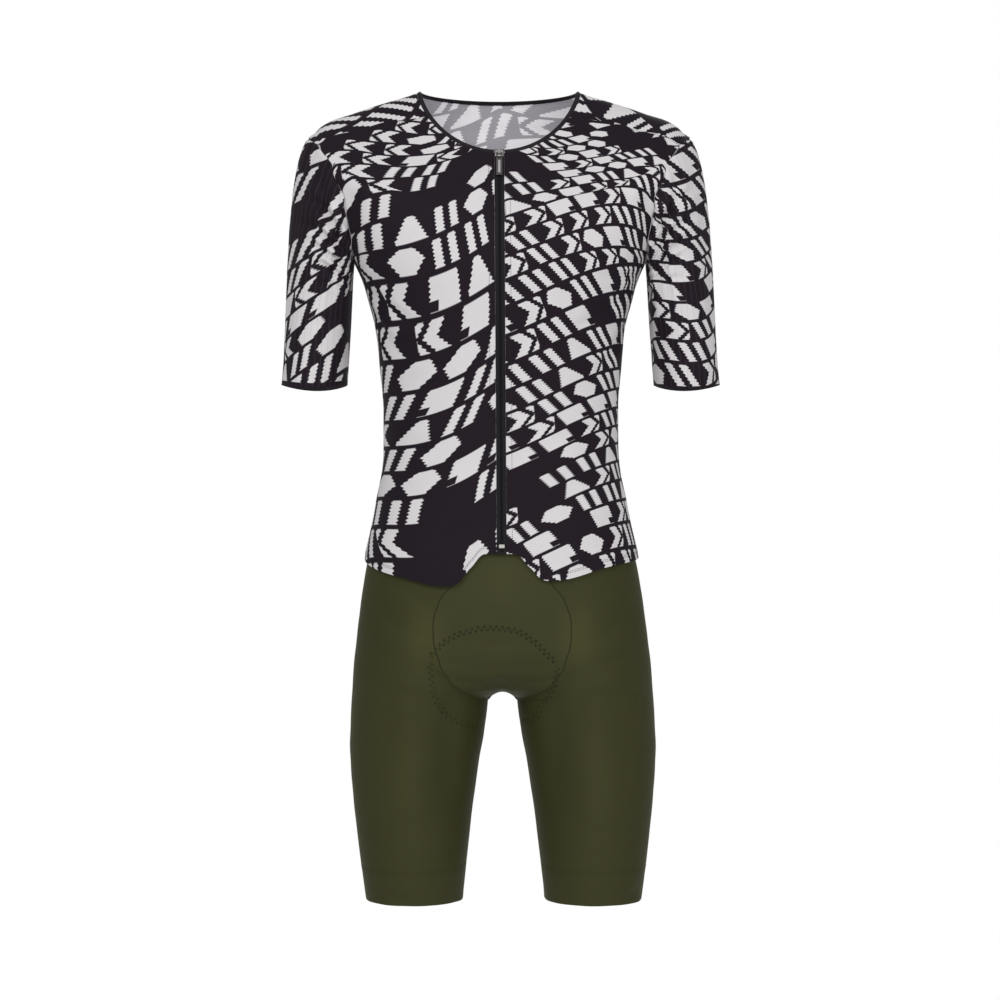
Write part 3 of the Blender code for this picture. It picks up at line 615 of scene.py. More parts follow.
class Cloth:
    # a material with its Principled shader, and one method for every other node
    def __init__(self, name, **settings):
        self.material = bpy.data.materials.new(name)
        self.material.use_nodes = True
        self.tree = self.material.node_tree
        self.shader = self.tree.nodes["Principled BSDF"]
        for key, value in settings.items():
            self.shader.inputs[key.replace("_", " ")].default_value = value

    def node(self, kind, settings=None, inputs=None, output=0):
        node = self.tree.nodes.new("ShaderNode" + kind)
        for key, value in (settings or {}).items():
            setattr(node, key, value)
        for key, value in (inputs or {}).items():
            if isinstance(value, Sock):
                self.tree.links.new(value.socket, node.inputs[key])
            else:
                node.inputs[key].default_value = value
        return Sock(self.tree, node.outputs[output])

    def feed(self, name, value):
        self.tree.links.new(value.socket, self.shader.inputs[name])

    def split(self, vector):
        node = self.tree.nodes.new("ShaderNodeSeparateXYZ")
        self.tree.links.new(vector.socket, node.inputs[0])
        return [Sock(self.tree, output) for output in node.outputs]

    def uv(self, name):
        flat = self.node("UVMap", {"uv_map": name})
        return flat, *self.split(flat)[:2]

    def blend(self, share, first, second):
        return self.node("Mix", {"data_type": "RGBA", "clamp_factor": True},
                         {0: share, 6: first, 7: second}, output=2)

    def times(self, colour, factor):
        return self.node("Mix", {"data_type": "RGBA", "blend_type": "MULTIPLY"},
                         {0: 1.0, 6: colour, 7: factor}, output=2)

    def chance(self, x, y):
        # a random number from 0 to 1 for each pair of whole numbers
        place = self.node("CombineXYZ", None, {0: x, 1: y, 2: 0.0})
        return self.node("TexWhiteNoise", {"noise_dimensions": "2D"}, {"Vector": place})

    def noise(self, place, **settings):
        return self.node("TexNoise", None, {"Vector": place, **settings})

    def relief(self, height, strength, distance):
        bump = self.node("Bump", None, {"Height": height, "Strength": strength, "Distance": distance})
        self.feed("Normal", bump)


def scaled(colour, factor):
    return tuple(min(1.0, factor * part) for part in colour[:3]) + (1.0,)


knit = {"rib": 0.0009, "course": 0.0011, "strength": 0.20, "depth": 0.00012}


def knitHeight(look):
    # fine knitted wales and courses, from the cloth's own measure
    _, across, up = look.uv("cloth")
    wales = (across * (2 * math.pi / knit["rib"])).sine()
    shifted = (across * (math.pi / knit["rib"])).sine() * 1.5
    courses = (up * (2 * math.pi / knit["course"]) + shifted).sine()
    return wales * 0.6 + courses * 0.4


printLook = {
    "wrongInk": (0.360, 0.345, 0.375, 1.0),
    "wrongGround": (0.860, 0.845, 0.860, 1.0),
    "steps": 8.0,                     # teeth down the edge of each mark
    "jag": 0.022,
    "edge": 0.010,
    "rowGap": 0.078,
    "slant": 0.34,
    "kinds": (0.36, 0.56, 0.66, 0.90, 2.0),    # the share of each kind of mark, summed up
    # the marks, each inside a cell that is 1 wide and 1 high
    "bar": (0.22, 0.115),             # place, half width
    "block": 0.38,                    # half width
    "notch": (0.30, 0.28, 0.13),      # place across and down, half width
    "lozenge": (0.62, 0.43),          # slope, half width
    "bent": (0.62, (0.14, 0.155), (0.54, 0.085), 0.42),    # slope, its two bars, where the second ends
    "wedge": (0.9, 0.34, 0.40),       # squash, slope, half width
    # the bands of plain ink that flow through the marks
    "broadBands": (0.95, 0.68, 0.31, 1.1, 0.86),    # by column, by row, sway, bend, amount
    "fineBands": (0.27, 0.41, 2.0, 0.24),           # by column, by row, shift, amount
    "scatter": 0.42,
    "kept": 0.84,                     # less of it leaves more ink
    "ribPitch": 0.0090,
}


def printMask(look):
    # 1 on the pale marks, 0 on the ink: rows of bars, blocks, lozenges, bent bars and wedges
    _, column, row = look.uv("print")
    _, hem, flow = look.uv("marks")
    soft = printLook["edge"]
    rowNumber = row.floor()
    inRow = row.fract()
    shifted = column + (rowNumber * 0.5).fract()
    cell = shifted.floor()
    pick = look.chance(cell + 0.21, rowNumber + 0.63)
    keep = look.chance(cell + 7.31, rowNumber + 3.17)
    x = shifted.fract() - 0.5
    y = inRow - 0.5
    jag = (inRow * (printLook["steps"] * 2 * math.pi)).sine() * printLook["jag"]
    slanted = x + y * printLook["slant"]
    place, wide = printLook["bar"]
    bars = ((slanted.size() - place).size() + jag).below(wide, soft)
    place, low, wide = printLook["notch"]
    notch = (slanted - place).size().most((y + low).size()).below(wide, soft)
    block = (slanted.size() + jag).below(printLook["block"], soft) * (1 - notch)
    slope, wide = printLook["lozenge"]
    lozenge = (slanted.size() + y.size() * slope + jag).below(wide, soft)
    slope, (place, wide), (nextPlace, nextWide), end = printLook["bent"]
    arrow = x + y.size() * slope
    bent = ((arrow - place).size() + jag).below(wide, soft)
    bent = bent.most(((arrow - nextPlace).size() + jag).below(nextWide, soft) * x.below(end, soft))
    squash, slope, wide = printLook["wedge"]
    wedge = (slanted.size() * squash + (y + 0.5) * slope + jag).below(wide, soft)
    shape, before = 0.0, 0.0
    for mark, limit in zip((bars, block, lozenge, bent, wedge), printLook["kinds"]):
        under = pick < limit
        shape = mark * (under - before) + shape
        before = under
    inside = y.size().below(0.5 - printLook["rowGap"], soft * 1.4)
    across, down, sway, bend, amount = printLook["broadBands"]
    swayed = (rowNumber * sway + flow).sine() * bend
    bands = (cell * across + rowNumber * down + flow + swayed).sine() * amount
    across, down, shift, amount = printLook["fineBands"]
    bands = bands + (cell * across - rowNumber * down + flow * shift).sine() * amount
    bands = bands + (keep - 0.5) * printLook["scatter"]
    kept = bands < printLook["kept"]
    return shape * inside * kept * hem.below(1.0, 0.01)


jerseyLook = {
    "ink": ((0.0118, 0.0074, 0.0115, 1.0), (0.0158, 0.0104, 0.0155, 1.0)),
    "ground": ((0.645, 0.622, 0.630, 1.0), (0.700, 0.676, 0.684, 1.0)),
    "ribInk": (0.0480, 0.0400, 0.0480, 1.0),
    "ribShadeOnGround": (0.52, 0.50, 0.51, 1.0),
}


def jerseyMaterial(name, ribs=False):
    look = Cloth(name, Roughness=0.72, Sheen_Weight=0.02, Sheen_Roughness=0.45, Specular_IOR_Level=0.10)
    mask = printMask(look)
    flat, across, _ = look.uv("cloth")
    mottle = look.noise(flat, Scale=38.0, Detail=3.0, Roughness=0.55)
    ink = look.blend(mottle, *jerseyLook["ink"])
    ground = look.blend(mottle, *jerseyLook["ground"])
    height = knitHeight(look)
    if ribs:
        ribWave = ((across / printLook["ribPitch"]).fract() - 0.5).size()
        # each rib line is painted lighter on the ink and darker on the pale ground: painted sheen and painted
        # shade along the ribs
        line = ribWave.below(0.050, 0.03)
        ink = look.blend(line * 0.6, ink, jerseyLook["ribInk"])
        ground = look.blend(line * 0.6, ground, jerseyLook["ribShadeOnGround"])
        height = height * 0.5 - line * 2.2
    look.feed("Base Color", look.blend(mask, ink, ground))
    look.feed("Roughness", 0.66 + mask * 0.12 + (mottle - 0.5) * 0.1)
    look.relief(height, knit["strength"], knit["depth"])
    return look.material


def wrongSideMaterial(name, cuff=0.0):
    # the inside of the printed cloth: pale, with the ink showing through greyed, and dark along a cuff; it
    # also glows a little as painted light
    look = Cloth(name, Roughness=0.85, Sheen_Weight=0.02, Emission_Strength=0.22)
    mask = printMask(look)
    colour = look.blend(mask, printLook["wrongInk"], printLook["wrongGround"])
    if cuff:
        _, _, up = look.uv("cloth")
        colour = look.blend(up.below(cuff, 0.0004), colour, jerseyLook["ink"][0])
    look.feed("Base Color", colour)
    look.feed("Emission Color", colour)                  # painted light: the inside glows faintly in its own colour
    look.relief(knitHeight(look), knit["strength"], knit["depth"])
    return look.material


oliveLook = {
    "low": (0.0375, 0.0380, 0.0128),
    "high": (0.0470, 0.0470, 0.0190),
    "tight": (1.7, 1.66, 1.6, 1.0),
    "slack": (0.52, 0.55, 0.58, 1.0),
    "seam": (0.006, 0.007, 0.004, 1.0),
}


def oliveMaterial(name, lift=(1.0, 1.0, 1.0)):
    look = Cloth(name, Roughness=0.50, Sheen_Weight=0.06, Sheen_Roughness=0.25, Specular_IOR_Level=0.08,
                 Sheen_Tint=(0.92, 0.84, 0.32, 1.0))
    flat, _, _ = look.uv("cloth")
    broad = look.noise(flat, Scale=16.0, Detail=4.0, Roughness=0.6)
    grain = look.noise(flat, Scale=900.0, Detail=1.0)
    share = broad * 0.75 + grain * 0.25
    low, high = (tuple(a * b for a, b in zip(oliveLook[key], lift)) + (1.0,) for key in ("low", "high"))
    plain = look.blend(share, low, high)
    _, tone, border = look.uv("tone")                    # tone: 1 under a painted highlight, 0 under painted shade
    # the olive is made paler under painted highlights and deeper under painted shade
    toned = look.blend(tone, look.times(plain, oliveLook["slack"]), look.times(plain, oliveLook["tight"]))
    line = border.below(0.0007, 0.0004) * 0.62           # the shadow in a seam
    look.feed("Base Color", look.blend(line, toned, oliveLook["seam"]))
    look.feed("Roughness", 0.42 + share * 0.16)
    look.relief(knitHeight(look) + grain * 0.5, knit["strength"], knit["depth"])
    return look.material


def trimMaterial(name, colour, pitch):
    # narrow ribbed trim and tape
    look = Cloth(name, Roughness=0.62, Sheen_Weight=0.03, Specular_IOR_Level=0.15)
    flat, across, _ = look.uv("cloth")
    ribs = (across * (2 * math.pi / pitch)).sine()
    mottle = look.noise(flat, Scale=120.0, Detail=2.0)
    # the colour is deeper in the grooves between the ribs, as painted shade; the mottle is the tape's own
    # uneven colour
    look.feed("Base Color", look.blend(mottle * 0.6 + ribs * 0.2 + 0.2, scaled(colour, 0.7), colour))
    look.relief(ribs, 0.35, 0.00018)
    return look.material


def threadMaterial(name, colour):
    look = Cloth(name, Roughness=0.60, Specular_IOR_Level=0.08)
    twist = look.noise(look.node("TexCoord", output=3), Scale=1800.0)
    look.feed("Base Color", look.blend(twist, colour, scaled(colour, 1.35)))
    return look.material


def metalMaterial(name, colour, inlay=None):
    # worn metal, with a plain pale inlay down the tab
    look = Cloth(name, Metallic=1.0, Roughness=0.32)
    place = look.node("TexCoord", output=3)
    wear = look.noise(place, Scale=700.0, Detail=5.0)
    look.feed("Roughness", 0.24 + wear * 0.22)
    look.relief(wear, 0.12, 0.0001)
    shade = look.blend(wear, scaled(colour, 0.72), colour)
    if inlay:
        x, _, z = look.split(place)
        beside = (x - inlay["x"]).size().below(inlay["halfWidth"], 0.0001)
        inside = beside * (z - inlay["z"]).size().below(inlay["halfLength"], 0.0001)
        shade = look.blend(inside, shade, inlay["colour"])
        look.feed("Metallic", 1 - inside)
    look.feed("Base Color", shade)
    return look.material


def foamMaterial(name, colour):
    look = Cloth(name, Roughness=0.85, Sheen_Weight=0.05)
    flat, _, _ = look.uv("cloth")
    holes = look.node("TexVoronoi", None, {"Vector": flat, "Scale": 330.0})
    # dark in the pores and pale on the foam between them: painted shade in the hollows
    look.feed("Base Color", look.blend(holes, colour, scaled(colour, 1.8)))
    look.relief(holes, 0.4, 0.0004)
    return look.material


tabInlay = {"x": -0.0009, "halfWidth": 0.0014, "z": -0.0975, "halfLength": 0.0078,
            "colour": (0.36, 0.35, 0.36, 1.0)}
looks = {
    "jersey": jerseyMaterial("printedKnit"),
    "ribbed": jerseyMaterial("printedRibKnit", ribs=True),
    "wrongSide": wrongSideMaterial("printedKnitInside"),
    "sleeveInside": wrongSideMaterial("sleeveInside", 0.006),
    "olive": oliveMaterial("oliveKnit"),
    # the front panel's olive is made paler all over: a painted highlight
    "panel": oliveMaterial("olivePanelKnit", (1.08, 1.08, 1.14)),
    "binding": trimMaterial("bindingTape", (0.0185, 0.0140, 0.0195, 1.0), pitch=0.0011),
    "tape": trimMaterial("zipTape", (0.0120, 0.0105, 0.0125, 1.0), pitch=0.0008),
    "coil": threadMaterial("zipCoil", (0.0110, 0.0100, 0.0115, 1.0)),
    "darkThread": threadMaterial("darkThread", (0.0200, 0.0160, 0.0210, 1.0)),
    "oliveThread": threadMaterial("oliveThread", (0.0105, 0.0160, 0.0085, 1.0)),
    "softThread": threadMaterial("softThread", (0.0225, 0.0280, 0.0125, 1.0)),
    "bandThread": threadMaterial("bandThread", (0.0330, 0.0334, 0.0085, 1.0)),
    "metal": metalMaterial("zipMetal", (0.72, 0.69, 0.66, 1.0)),
    "tabMetal": metalMaterial("tabMetal", (0.200, 0.185, 0.178, 1.0), tabInlay),
    "foam": foamMaterial("padFoam", (0.0200, 0.0200, 0.0220, 1.0)),
}
print("materials made")


# the jersey's panels, each with its own scale, tilt and flow of the print
planColumns = ("cell", "rise", "shear", "wave", "waveLength", "squeeze", "phase", "start", "hemInk")
printPlans = {
    "jersey_front_right": ((0.0500, 0.0365), 0.34, -0.26, 0.018, 0.32, 0.26, 0.4, 6.0, 0.0),
    "jersey_front_left": ((0.0350, 0.0255), -0.24, 0.20, 0.012, 0.30, 0.24, 2.1, 40.0, 0.0),
    "jersey_back": ((0.0570, 0.0400), 0.12, -0.22, 0.020, 0.34, 0.30, 1.2, 80.0, 0.0),
    "sleeve_right": ((0.0480, 0.0320), 0.22, -0.12, 0.014, 0.26, 0.24, 3.9, 120.0, 0.0055),
    "sleeve_left": ((0.0420, 0.0270), -0.26, 0.30, 0.012, 0.24, 0.24, 4.4, 160.0, 0.0016),
}


def printMaps(name, across, up, fromHem):
    # the cloth's own measures, the print's columns and rows, and how near the hem is
    plan = dict(zip(planColumns, printPlans[name]))
    wave, phase = 2 * math.pi / plan["waveLength"], plan["phase"]
    v = up + plan["rise"] * across + plan["wave"] * np.sin(wave * across + phase)
    u = across + plan["shear"] * up + plan["wave"] * np.sin(wave * up * 0.8 - phase)
    row = (v + plan["squeeze"] * np.sin(wave * v * 0.9 + phase) / (wave * 0.9)) / plan["cell"][1]
    column = (u + plan["squeeze"] * np.sin(wave * u * 0.8 - phase) / (wave * 0.8)) / plan["cell"][0]
    hem = np.clip(2 - fromHem / plan["hemInk"], 0, 2) if plan["hemInk"] else 0 * across
    return {
        "cloth": np.dstack([across, up]),
        "print": np.dstack([column + plan["start"], row + plan["start"] / 2]),
        "marks": np.dstack([hem, 0 * across + phase]),    # the first is over 1 on the plain edge
    }


def creased(base, folds, seams, depth=1.0, shift=(0.0, 0.0), side=1, relief=1.0):
    # the smooth form with its folds and seams pressed in
    seen = base * (side, 1, 1) + (shift[0], 0, shift[1])
    distance, across, up = borderDistance(base, seams)
    fade = np.clip(distance / seamShape["calm"], 0, 1)
    inward = foldDepth(seen, folds) * depth * fade + seamRelief(distance) * relief
    return base - gridNormals(base) * inward[..., None], across, up


jersey = {
    "wall": 0.0009,
    "rows": 200,
    "frontColumns": 104,
    "backColumns": 140,
    "sleeveRows": 144,
    "sleeveColumns": 176,
}
hems = {name: frontHem(jerseyForm[key]) for name, key in (("jersey_front_left", "hemLeft"),
                                                          ("jersey_front_right", "hemRight"))}
for name, side in bothSides("jersey_front"):
    base = jerseyAt(panelPlaces(zipBorder, frontBorder, hems[name], jersey["rows"],
                                jersey["frontColumns"]))
    grid, across, up = creased(base, jerseyFolds, ("left", "right", "top"), side=side)
    maps = printMaps(name, across, base[:1, :, 2] + up, up)
    clothPiece(name, drawnIn(grid, suit["seamGap"]), maps, ("jersey", "wrongSide"), jersey["wall"],
               side)

base = jerseyAt(panelPlaces(backBorder, lambda level: 2 * math.pi - backBorder(level), backHem(),
                            jersey["rows"], jersey["backColumns"], along=half))
grid, across, up = creased(base, jerseyFolds, ("left", "right", "top"))
maps = printMaps("jersey_back", across - across[:, -1:] / 2, base[:1, :, 2] + up, up)
clothPiece("jersey_back", drawnIn(grid, suit["seamGap"]), maps, ("jersey", "wrongSide"), jersey["wall"])


sleeveForm = {
    "cuffCentre": (0.2180, 0.0020),
    "cuffHalf": (0.0385, 0.0480),
    "cuffZ": -0.3430,
    "cuffDip": 0.0050,
    "topReach": (0.085, 0.0, -0.100),
    "sideReach": 0.060,
    "armpitReach": (0.004, 0.0, -0.150),
    "cuffInsideReach": (0.012, 0.0, -0.170),
    "cuffOutsideReach": (0.024, 0.0, -0.170),
    "gap": 0.0003,
    # by side: how deep the folds are, and how far they are moved
    "folds": {1: (1.15, (0.0, 0.0)), -1: (1.3, (-0.001, 0.006))},
}


def sleeveGrid(rows, columns):
    # from the armhole round the arm to the cuff, with the underarm seam at both ends of each row
    share = np.linspace(0, 1, columns // 2 + 1)
    ways = np.vstack([curveThrough(jerseyAt, frontArmhole, share),
                      curveThrough(jerseyAt, backArmhole, share[::-1])[1:]])
    rim = jerseyAt(ways)
    top = int(np.argmax(rim[:, 2]))
    number = np.arange(columns + 1)
    turn = np.where(number <= top, number / top / 2, 0.5 + (number - top) / (columns - top) / 2)
    angle = 2 * math.pi * turn
    topness = ((1 - np.cos(angle)) / 2)[:, None]
    form = sleeveForm
    cuff = np.column_stack([form["cuffCentre"][0] - form["cuffHalf"][0] * np.cos(angle),
                            form["cuffCentre"][1] - form["cuffHalf"][1] * np.sin(angle),
                            form["cuffZ"] - form["cuffDip"] * np.sin(angle) ** 2])
    ahead = np.vstack([rim[1:], rim[1:2]]) - np.vstack([rim[-2:-1], rim[:-1]])
    onward = unit(np.cross(ahead, normalsOf(jerseyAt, ways)))
    for _ in range(12):
        onward[1:-1] = (onward[:-2] + onward[1:-1] * 2 + onward[2:]) / 4
    reach = {key: np.array(form[key + "Reach"]) for key in ("armpit", "top", "cuffInside", "cuffOutside")}
    leave = reach["armpit"] * (1 - topness) + reach["top"] * topness
    leave[:, 1] += form["sideReach"] * onward[:, 1] * topness[:, 0]
    arrive = reach["cuffInside"] * (1 - topness) + reach["cuffOutside"] * topness
    v = np.linspace(1, 0, rows + 1)[:, None, None]
    return (rim * (2 * v ** 3 - 3 * v ** 2 + 1) + leave * (v ** 3 - 2 * v ** 2 + v)
            + cuff * (3 * v ** 2 - 2 * v ** 3) + arrive * (v ** 3 - v ** 2))


base = sleeveGrid(jersey["sleeveRows"], jersey["sleeveColumns"])
for name, side in bothSides("sleeve"):
    grid, across, up = creased(base, sleeveFolds, ("left", "right", "top"), *sleeveForm["folds"][side])
    even = across / across[:, -1:] * across[:, -1].mean()
    clothPiece(name, drawnIn(grid, sleeveForm["gap"], around=True), printMaps(name, even, up, up),
               ("ribbed", "sleeveInside"), jersey["wall"], side)


binding = {"wall": 0.0020, "rise": 0.0008, "rows": 14, "columns": 300, "fromTape": 0.0006}
start = turnAt(jerseyForm["zipHalf"] + binding["fromTape"], jerseyForm["bindingFrom"])
turns = start + (2 * math.pi - 2 * start) * np.linspace(0, 1, binding["columns"] + 1)
share = np.linspace(0, 1, binding["rows"] + 1)
levels = jerseyForm["bindingFrom"] + (jerseyForm["bindingTo"] - jerseyForm["bindingFrom"]) * share
places = np.dstack(np.meshgrid(turns, levels))
roll = (np.sqrt(np.clip(1 - (2 * share - 1) ** 2, 0, 1)) - 1)[:, None, None] * binding["rise"]
base = jerseyAt(places) + normalsOf(jerseyAt, places) * roll
_, across, up = borderDistance(base, ("left",))
clothPiece("neck_binding", drawnIn(base, suit["seamGap"]), {"cloth": np.dstack([across, up])}, ("binding",),
           binding["wall"], crisp=False)

tape = {"wall": 0.0010, "rows": 320, "columns": 8, "under": 0.0002}
levels = np.linspace(levelAt(0.0, jerseyForm["hemCentre"]), jerseyForm["bindingTo"], tape["rows"] + 1)
edge = np.array([turnAt(jerseyForm["zipHalf"], level) for level in levels])[:, None]
share = np.linspace(0, 1, tape["columns"] + 1)
base = jerseyAt(np.dstack([edge * share, levels[:, None] + 0 * share]))
_, across, up = borderDistance(base, ("left",))
for name, side in bothSides("zip_tape"):
    clothPiece(name, drawnIn(base - gridNormals(base) * tape["under"], suit["seamGap"]),
               {"cloth": np.dstack([across, up])}, ("tape",), tape["wall"], side)


shorts = {
    "wall": 0.0009,
    "bandWall": 0.0012,
    "forkRows": 150,
    "forkCrowding": 1.4,
    "legRows": 80,
    "legColumns": 110,
    "panelColumns": 64,
    "bandRows": 22,
    "fine": 500,
    "relief": 0.7,
    "folds": {1: (0.85, (0.0, 0.0)), -1: (1.1, (0.002, -0.007))},
}
# painted highlights and painted shade on the shorts, as paler or deeper patches of the olive: x, z, half
# widths and amount
paintedLightPatches = {
    "plain": 0.42,
    "soft": 0.04,
    "front": (
        (0.088, -0.632, 0.021, 0.036, 0.33),
        (0.112, -0.800, 0.020, 0.100, 0.12),
        (0.066, -0.780, 0.013, 0.085, -0.12),
        (0.000, -0.565, 0.034, 0.030, 0.14),
        (0.000, -0.655, 0.022, 0.020, 0.07),
        (0.140, -0.620, 0.020, 0.050, -0.05),
    ),
    "back": (
        (0.080, -0.620, 0.045, 0.050, 0.12),
        (0.100, -0.800, 0.024, 0.090, 0.10),
        (0.010, -0.640, 0.012, 0.050, -0.10),
    ),
}


def paintedLightMap(points, distance=1.0):
    # how pale the painted highlights and shade make the cloth, and how far off its seams each point is
    tone = np.full(points.shape[:-1], paintedLightPatches["plain"])
    for part, weight in halves(points, paintedLightPatches["soft"]):
        for x, z, wide, tall, amount in paintedLightPatches[part]:
            off = ((np.abs(points[..., 0]) - x) / wide) ** 2 + ((points[..., 2] - z) / tall) ** 2
            tone += amount * weight * np.exp(-off)
    return np.dstack([np.clip(tone, 0, 1), 0 * tone + distance])


# rows closer together at the fork, and the front seam's way round at each height
forkShares = np.linspace(0, 1, shorts["forkRows"] + 1) ** shorts["forkCrowding"]
forkHeights = shortsForm["forkZ"] + (shortsForm["waistTop"] - shortsForm["forkZ"]) * forkShares
seamPoints = [locate(shortsAt, (0.0, shortsForm["forkZ"]), (0.5, shortsForm["waistTop"]), *point)
              for point in shortsForm["frontSeam"]]
seamPoints = np.array(seamPoints + [(0.0, shortsForm["forkZ"])])[::-1]
seamHeights = np.linspace(shortsForm["forkZ"], shortsForm["waistTop"], 300)
seamWays = smoothAt(seamPoints[:, 1], seamPoints[:, :1], seamHeights)[:, 0]


def seamWay(height):
    return float(np.interp(height, seamHeights, seamWays)) if height > shortsForm["forkZ"] else 0.0


def legRow(way, height, count):
    ways = np.linspace(way, 1, shorts["fine"])
    return spread(shortsAt(pairs(ways, height)), np.linspace(0, 1, count + 1))


def centreRow(height, way, behind=False):
    # half a row across the front panel or the strip, arched between the legs
    edge = shortsAt(np.array((1.0 if behind else 0.0, height)))
    widest = shortsAt(np.array((0.0, shortsForm["forkZ"])))[0]
    inward = np.array([0.0, -edge[1], shortsForm["pelvisZ"] - edge[2]])
    inward *= shortsForm["arch"] * (edge[0] / widest) ** 2 / np.linalg.norm(inward)
    share = np.linspace(0, 1, 60)[:, None]
    middle = np.array([0.0, edge[1], edge[2]]) + inward
    points = middle + (edge - middle) * np.hstack([share, share ** 2, share ** 2])
    if way > 0:
        ways = np.linspace(0, way, shorts["fine"] // 2)[1:]
        ways = 1 - ways if behind else ways
        points = np.vstack([points, shortsAt(pairs(ways, height))])
    return points


def fullRow(height, way, count, behind=False):
    right = spread(centreRow(height, way, behind), np.linspace(0, 1, count // 2 + 1))
    return np.vstack([right[::-1] * (-1, 1, 1), right[1:]])


lowHeights = np.linspace(shortsForm["bandZ"], shortsForm["forkZ"], shorts["legRows"] + 1)[:-1]
base = np.array([legRow(seamWay(height), height, shorts["legColumns"])
                 for height in (*lowHeights, *forkHeights)])
distance, across, up = borderDistance(base, ("left", "right"))
for name, side in bothSides("shorts_leg"):
    grid, _, _ = creased(base, shortsFolds, ("left", "right"), *shorts["folds"][side],
                         relief=shorts["relief"])
    maps = {"cloth": np.dstack([across, base[:1, :, 2] + up]), "tone": paintedLightMap(base, distance)}
    clothPiece(name, drawnIn(grid, suit["seamGap"]), maps, ("olive",), shorts["wall"], side)

ripples = {"depth": 0.0005, "long": 2 * math.pi / 0.043, "short": 31.0, "fade": 0.03}
bandHeights = np.linspace(shortsForm["legEnd"], shortsForm["bandZ"], shorts["bandRows"] + 1)
base = np.array([legRow(0.0, height, shorts["legColumns"]) for height in bandHeights])
distance, across, up = borderDistance(base, ("left", "right"))
for name, side in bothSides("leg_band"):
    ripple = np.sin(across * ripples["long"] + side) * np.sin(across * ripples["short"] + 2.0 * side)
    ripple = ripples["depth"] * ripple * np.clip(1 - up / ripples["fade"], 0, 1)
    ripple = ripple + foldDepth(base * (side, 1, 1), bandFolds)
    grid = base - gridNormals(base) * (seamRelief(distance) + ripple)[..., None]
    maps = {"cloth": np.dstack([across, base[:1, :, 2] + up]), "tone": paintedLightMap(base)}
    clothPiece(name, drawnIn(grid, suit["seamGap"], around=True), maps, ("olive",), shorts["bandWall"],
               side)

ahead = [fullRow(height, seamWay(height), shorts["panelColumns"]) for height in forkHeights]
under = [fullRow(height, 0.0, shorts["panelColumns"], behind=True) for height in forkHeights
         if height <= shortsForm["stripEnd"]]
base = np.array(under[::-1] + ahead[1:])
distance, across, up = borderDistance(base, ("left", "right", "bottom"))
grid = base - gridNormals(base) * shorts["relief"] * seamRelief(distance)[..., None]
maps = {"cloth": np.dstack([across - across[:, -1:] / 2, up]), "tone": paintedLightMap(base, distance)}
clothPiece("shorts_front", drawnIn(grid, suit["seamGap"]), maps, ("panel",), shorts["wall"])


padForm = {
    "wall": 0.0070,
    "lift": 0.0055,
    "front": -0.6150,
    "back": -0.6250,
    "way": 0.075,
    "flare": 0.0400,
    "rows": 60,
    "columns": 96,
    "edge": 0.0016,
    "edgeWidth": 0.012,
    "groove": 0.0022,
    "grooveWidth": 0.0035,
    "grooves": (0.012, 0.028),
    "grooveFade": 0.020,
}


def padWay(height):
    return padForm["way"] * min(1.0, (height - shortsForm["forkZ"]) / padForm["flare"])


def padRows(start, end, behind):
    heights = np.linspace(start, end, padForm["rows"] + 1)
    return [fullRow(height, padWay(height), padForm["columns"], behind) for height in heights]


base = np.array(padRows(padForm["back"], shortsForm["forkZ"], True)[:-1]
                + padRows(shortsForm["forkZ"], padForm["front"], False))
normal = gridNormals(base)
skinSide = base - normal * padForm["lift"]
distance, across, up = borderDistance(base, ("left", "right", "top", "bottom"))
rounded = np.clip(distance / padForm["edgeWidth"], 0, 1)
thick = padForm["edge"] + (padForm["wall"] - padForm["edge"]) * np.sqrt(1 - (1 - rounded) ** 2)
fromMiddle = np.abs(across - across[:, -1:] / 2)
grooved = padForm["groove"] * np.clip(distance / padForm["grooveFade"], 0, 1)
for place in padForm["grooves"]:
    thick -= grooved * bell((fromMiddle - place) / padForm["grooveWidth"])
innerSide = skinSide - normal * thick[..., None]
faces = gridFaces(*base.shape[:2])
count = base[..., 0].size
indices = np.arange(count).reshape(base.shape[:2])
rim = np.concatenate([indices[0], indices[1:, -1], indices[-1, -2::-1], indices[-2:0:-1, 0]])
rimFaces = np.stack([rim, rim + count, np.roll(rim, -1) + count, np.roll(rim, -1)], axis=-1)
points = lean(np.concatenate([skinSide.reshape(-1, 3), innerSide.reshape(-1, 3)]))
allFaces = np.concatenate([faces, faces[:, ::-1] + count, rimFaces])
pad = addMesh("seatPad", points, allFaces, ("foam",))
flat = np.tile(np.dstack([across, up]).reshape(-1, 2), (2, 1))
addMap(pad, "cloth", flat, allFaces)
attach(pad, suit["body"])
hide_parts("seat_pad")
print("made seat_pad")


threads = {"sides": 5, "rings": 5, "bow": 0.00012, "sunk": 0.5, "ends": 0.16, "taper": 6, "reach": 0.012}


def onto(tree, points, normals):
    # each point put on the finished cloth
    placed = []
    for point, normal in zip(points, normals):
        hit = tree.ray_cast(Vector(point + normal * threads["reach"]), Vector(-normal), 3 * threads["reach"])
        placed.append(tuple(hit[0] or tree.find_nearest(Vector(point))[0]))
    return np.array(placed)


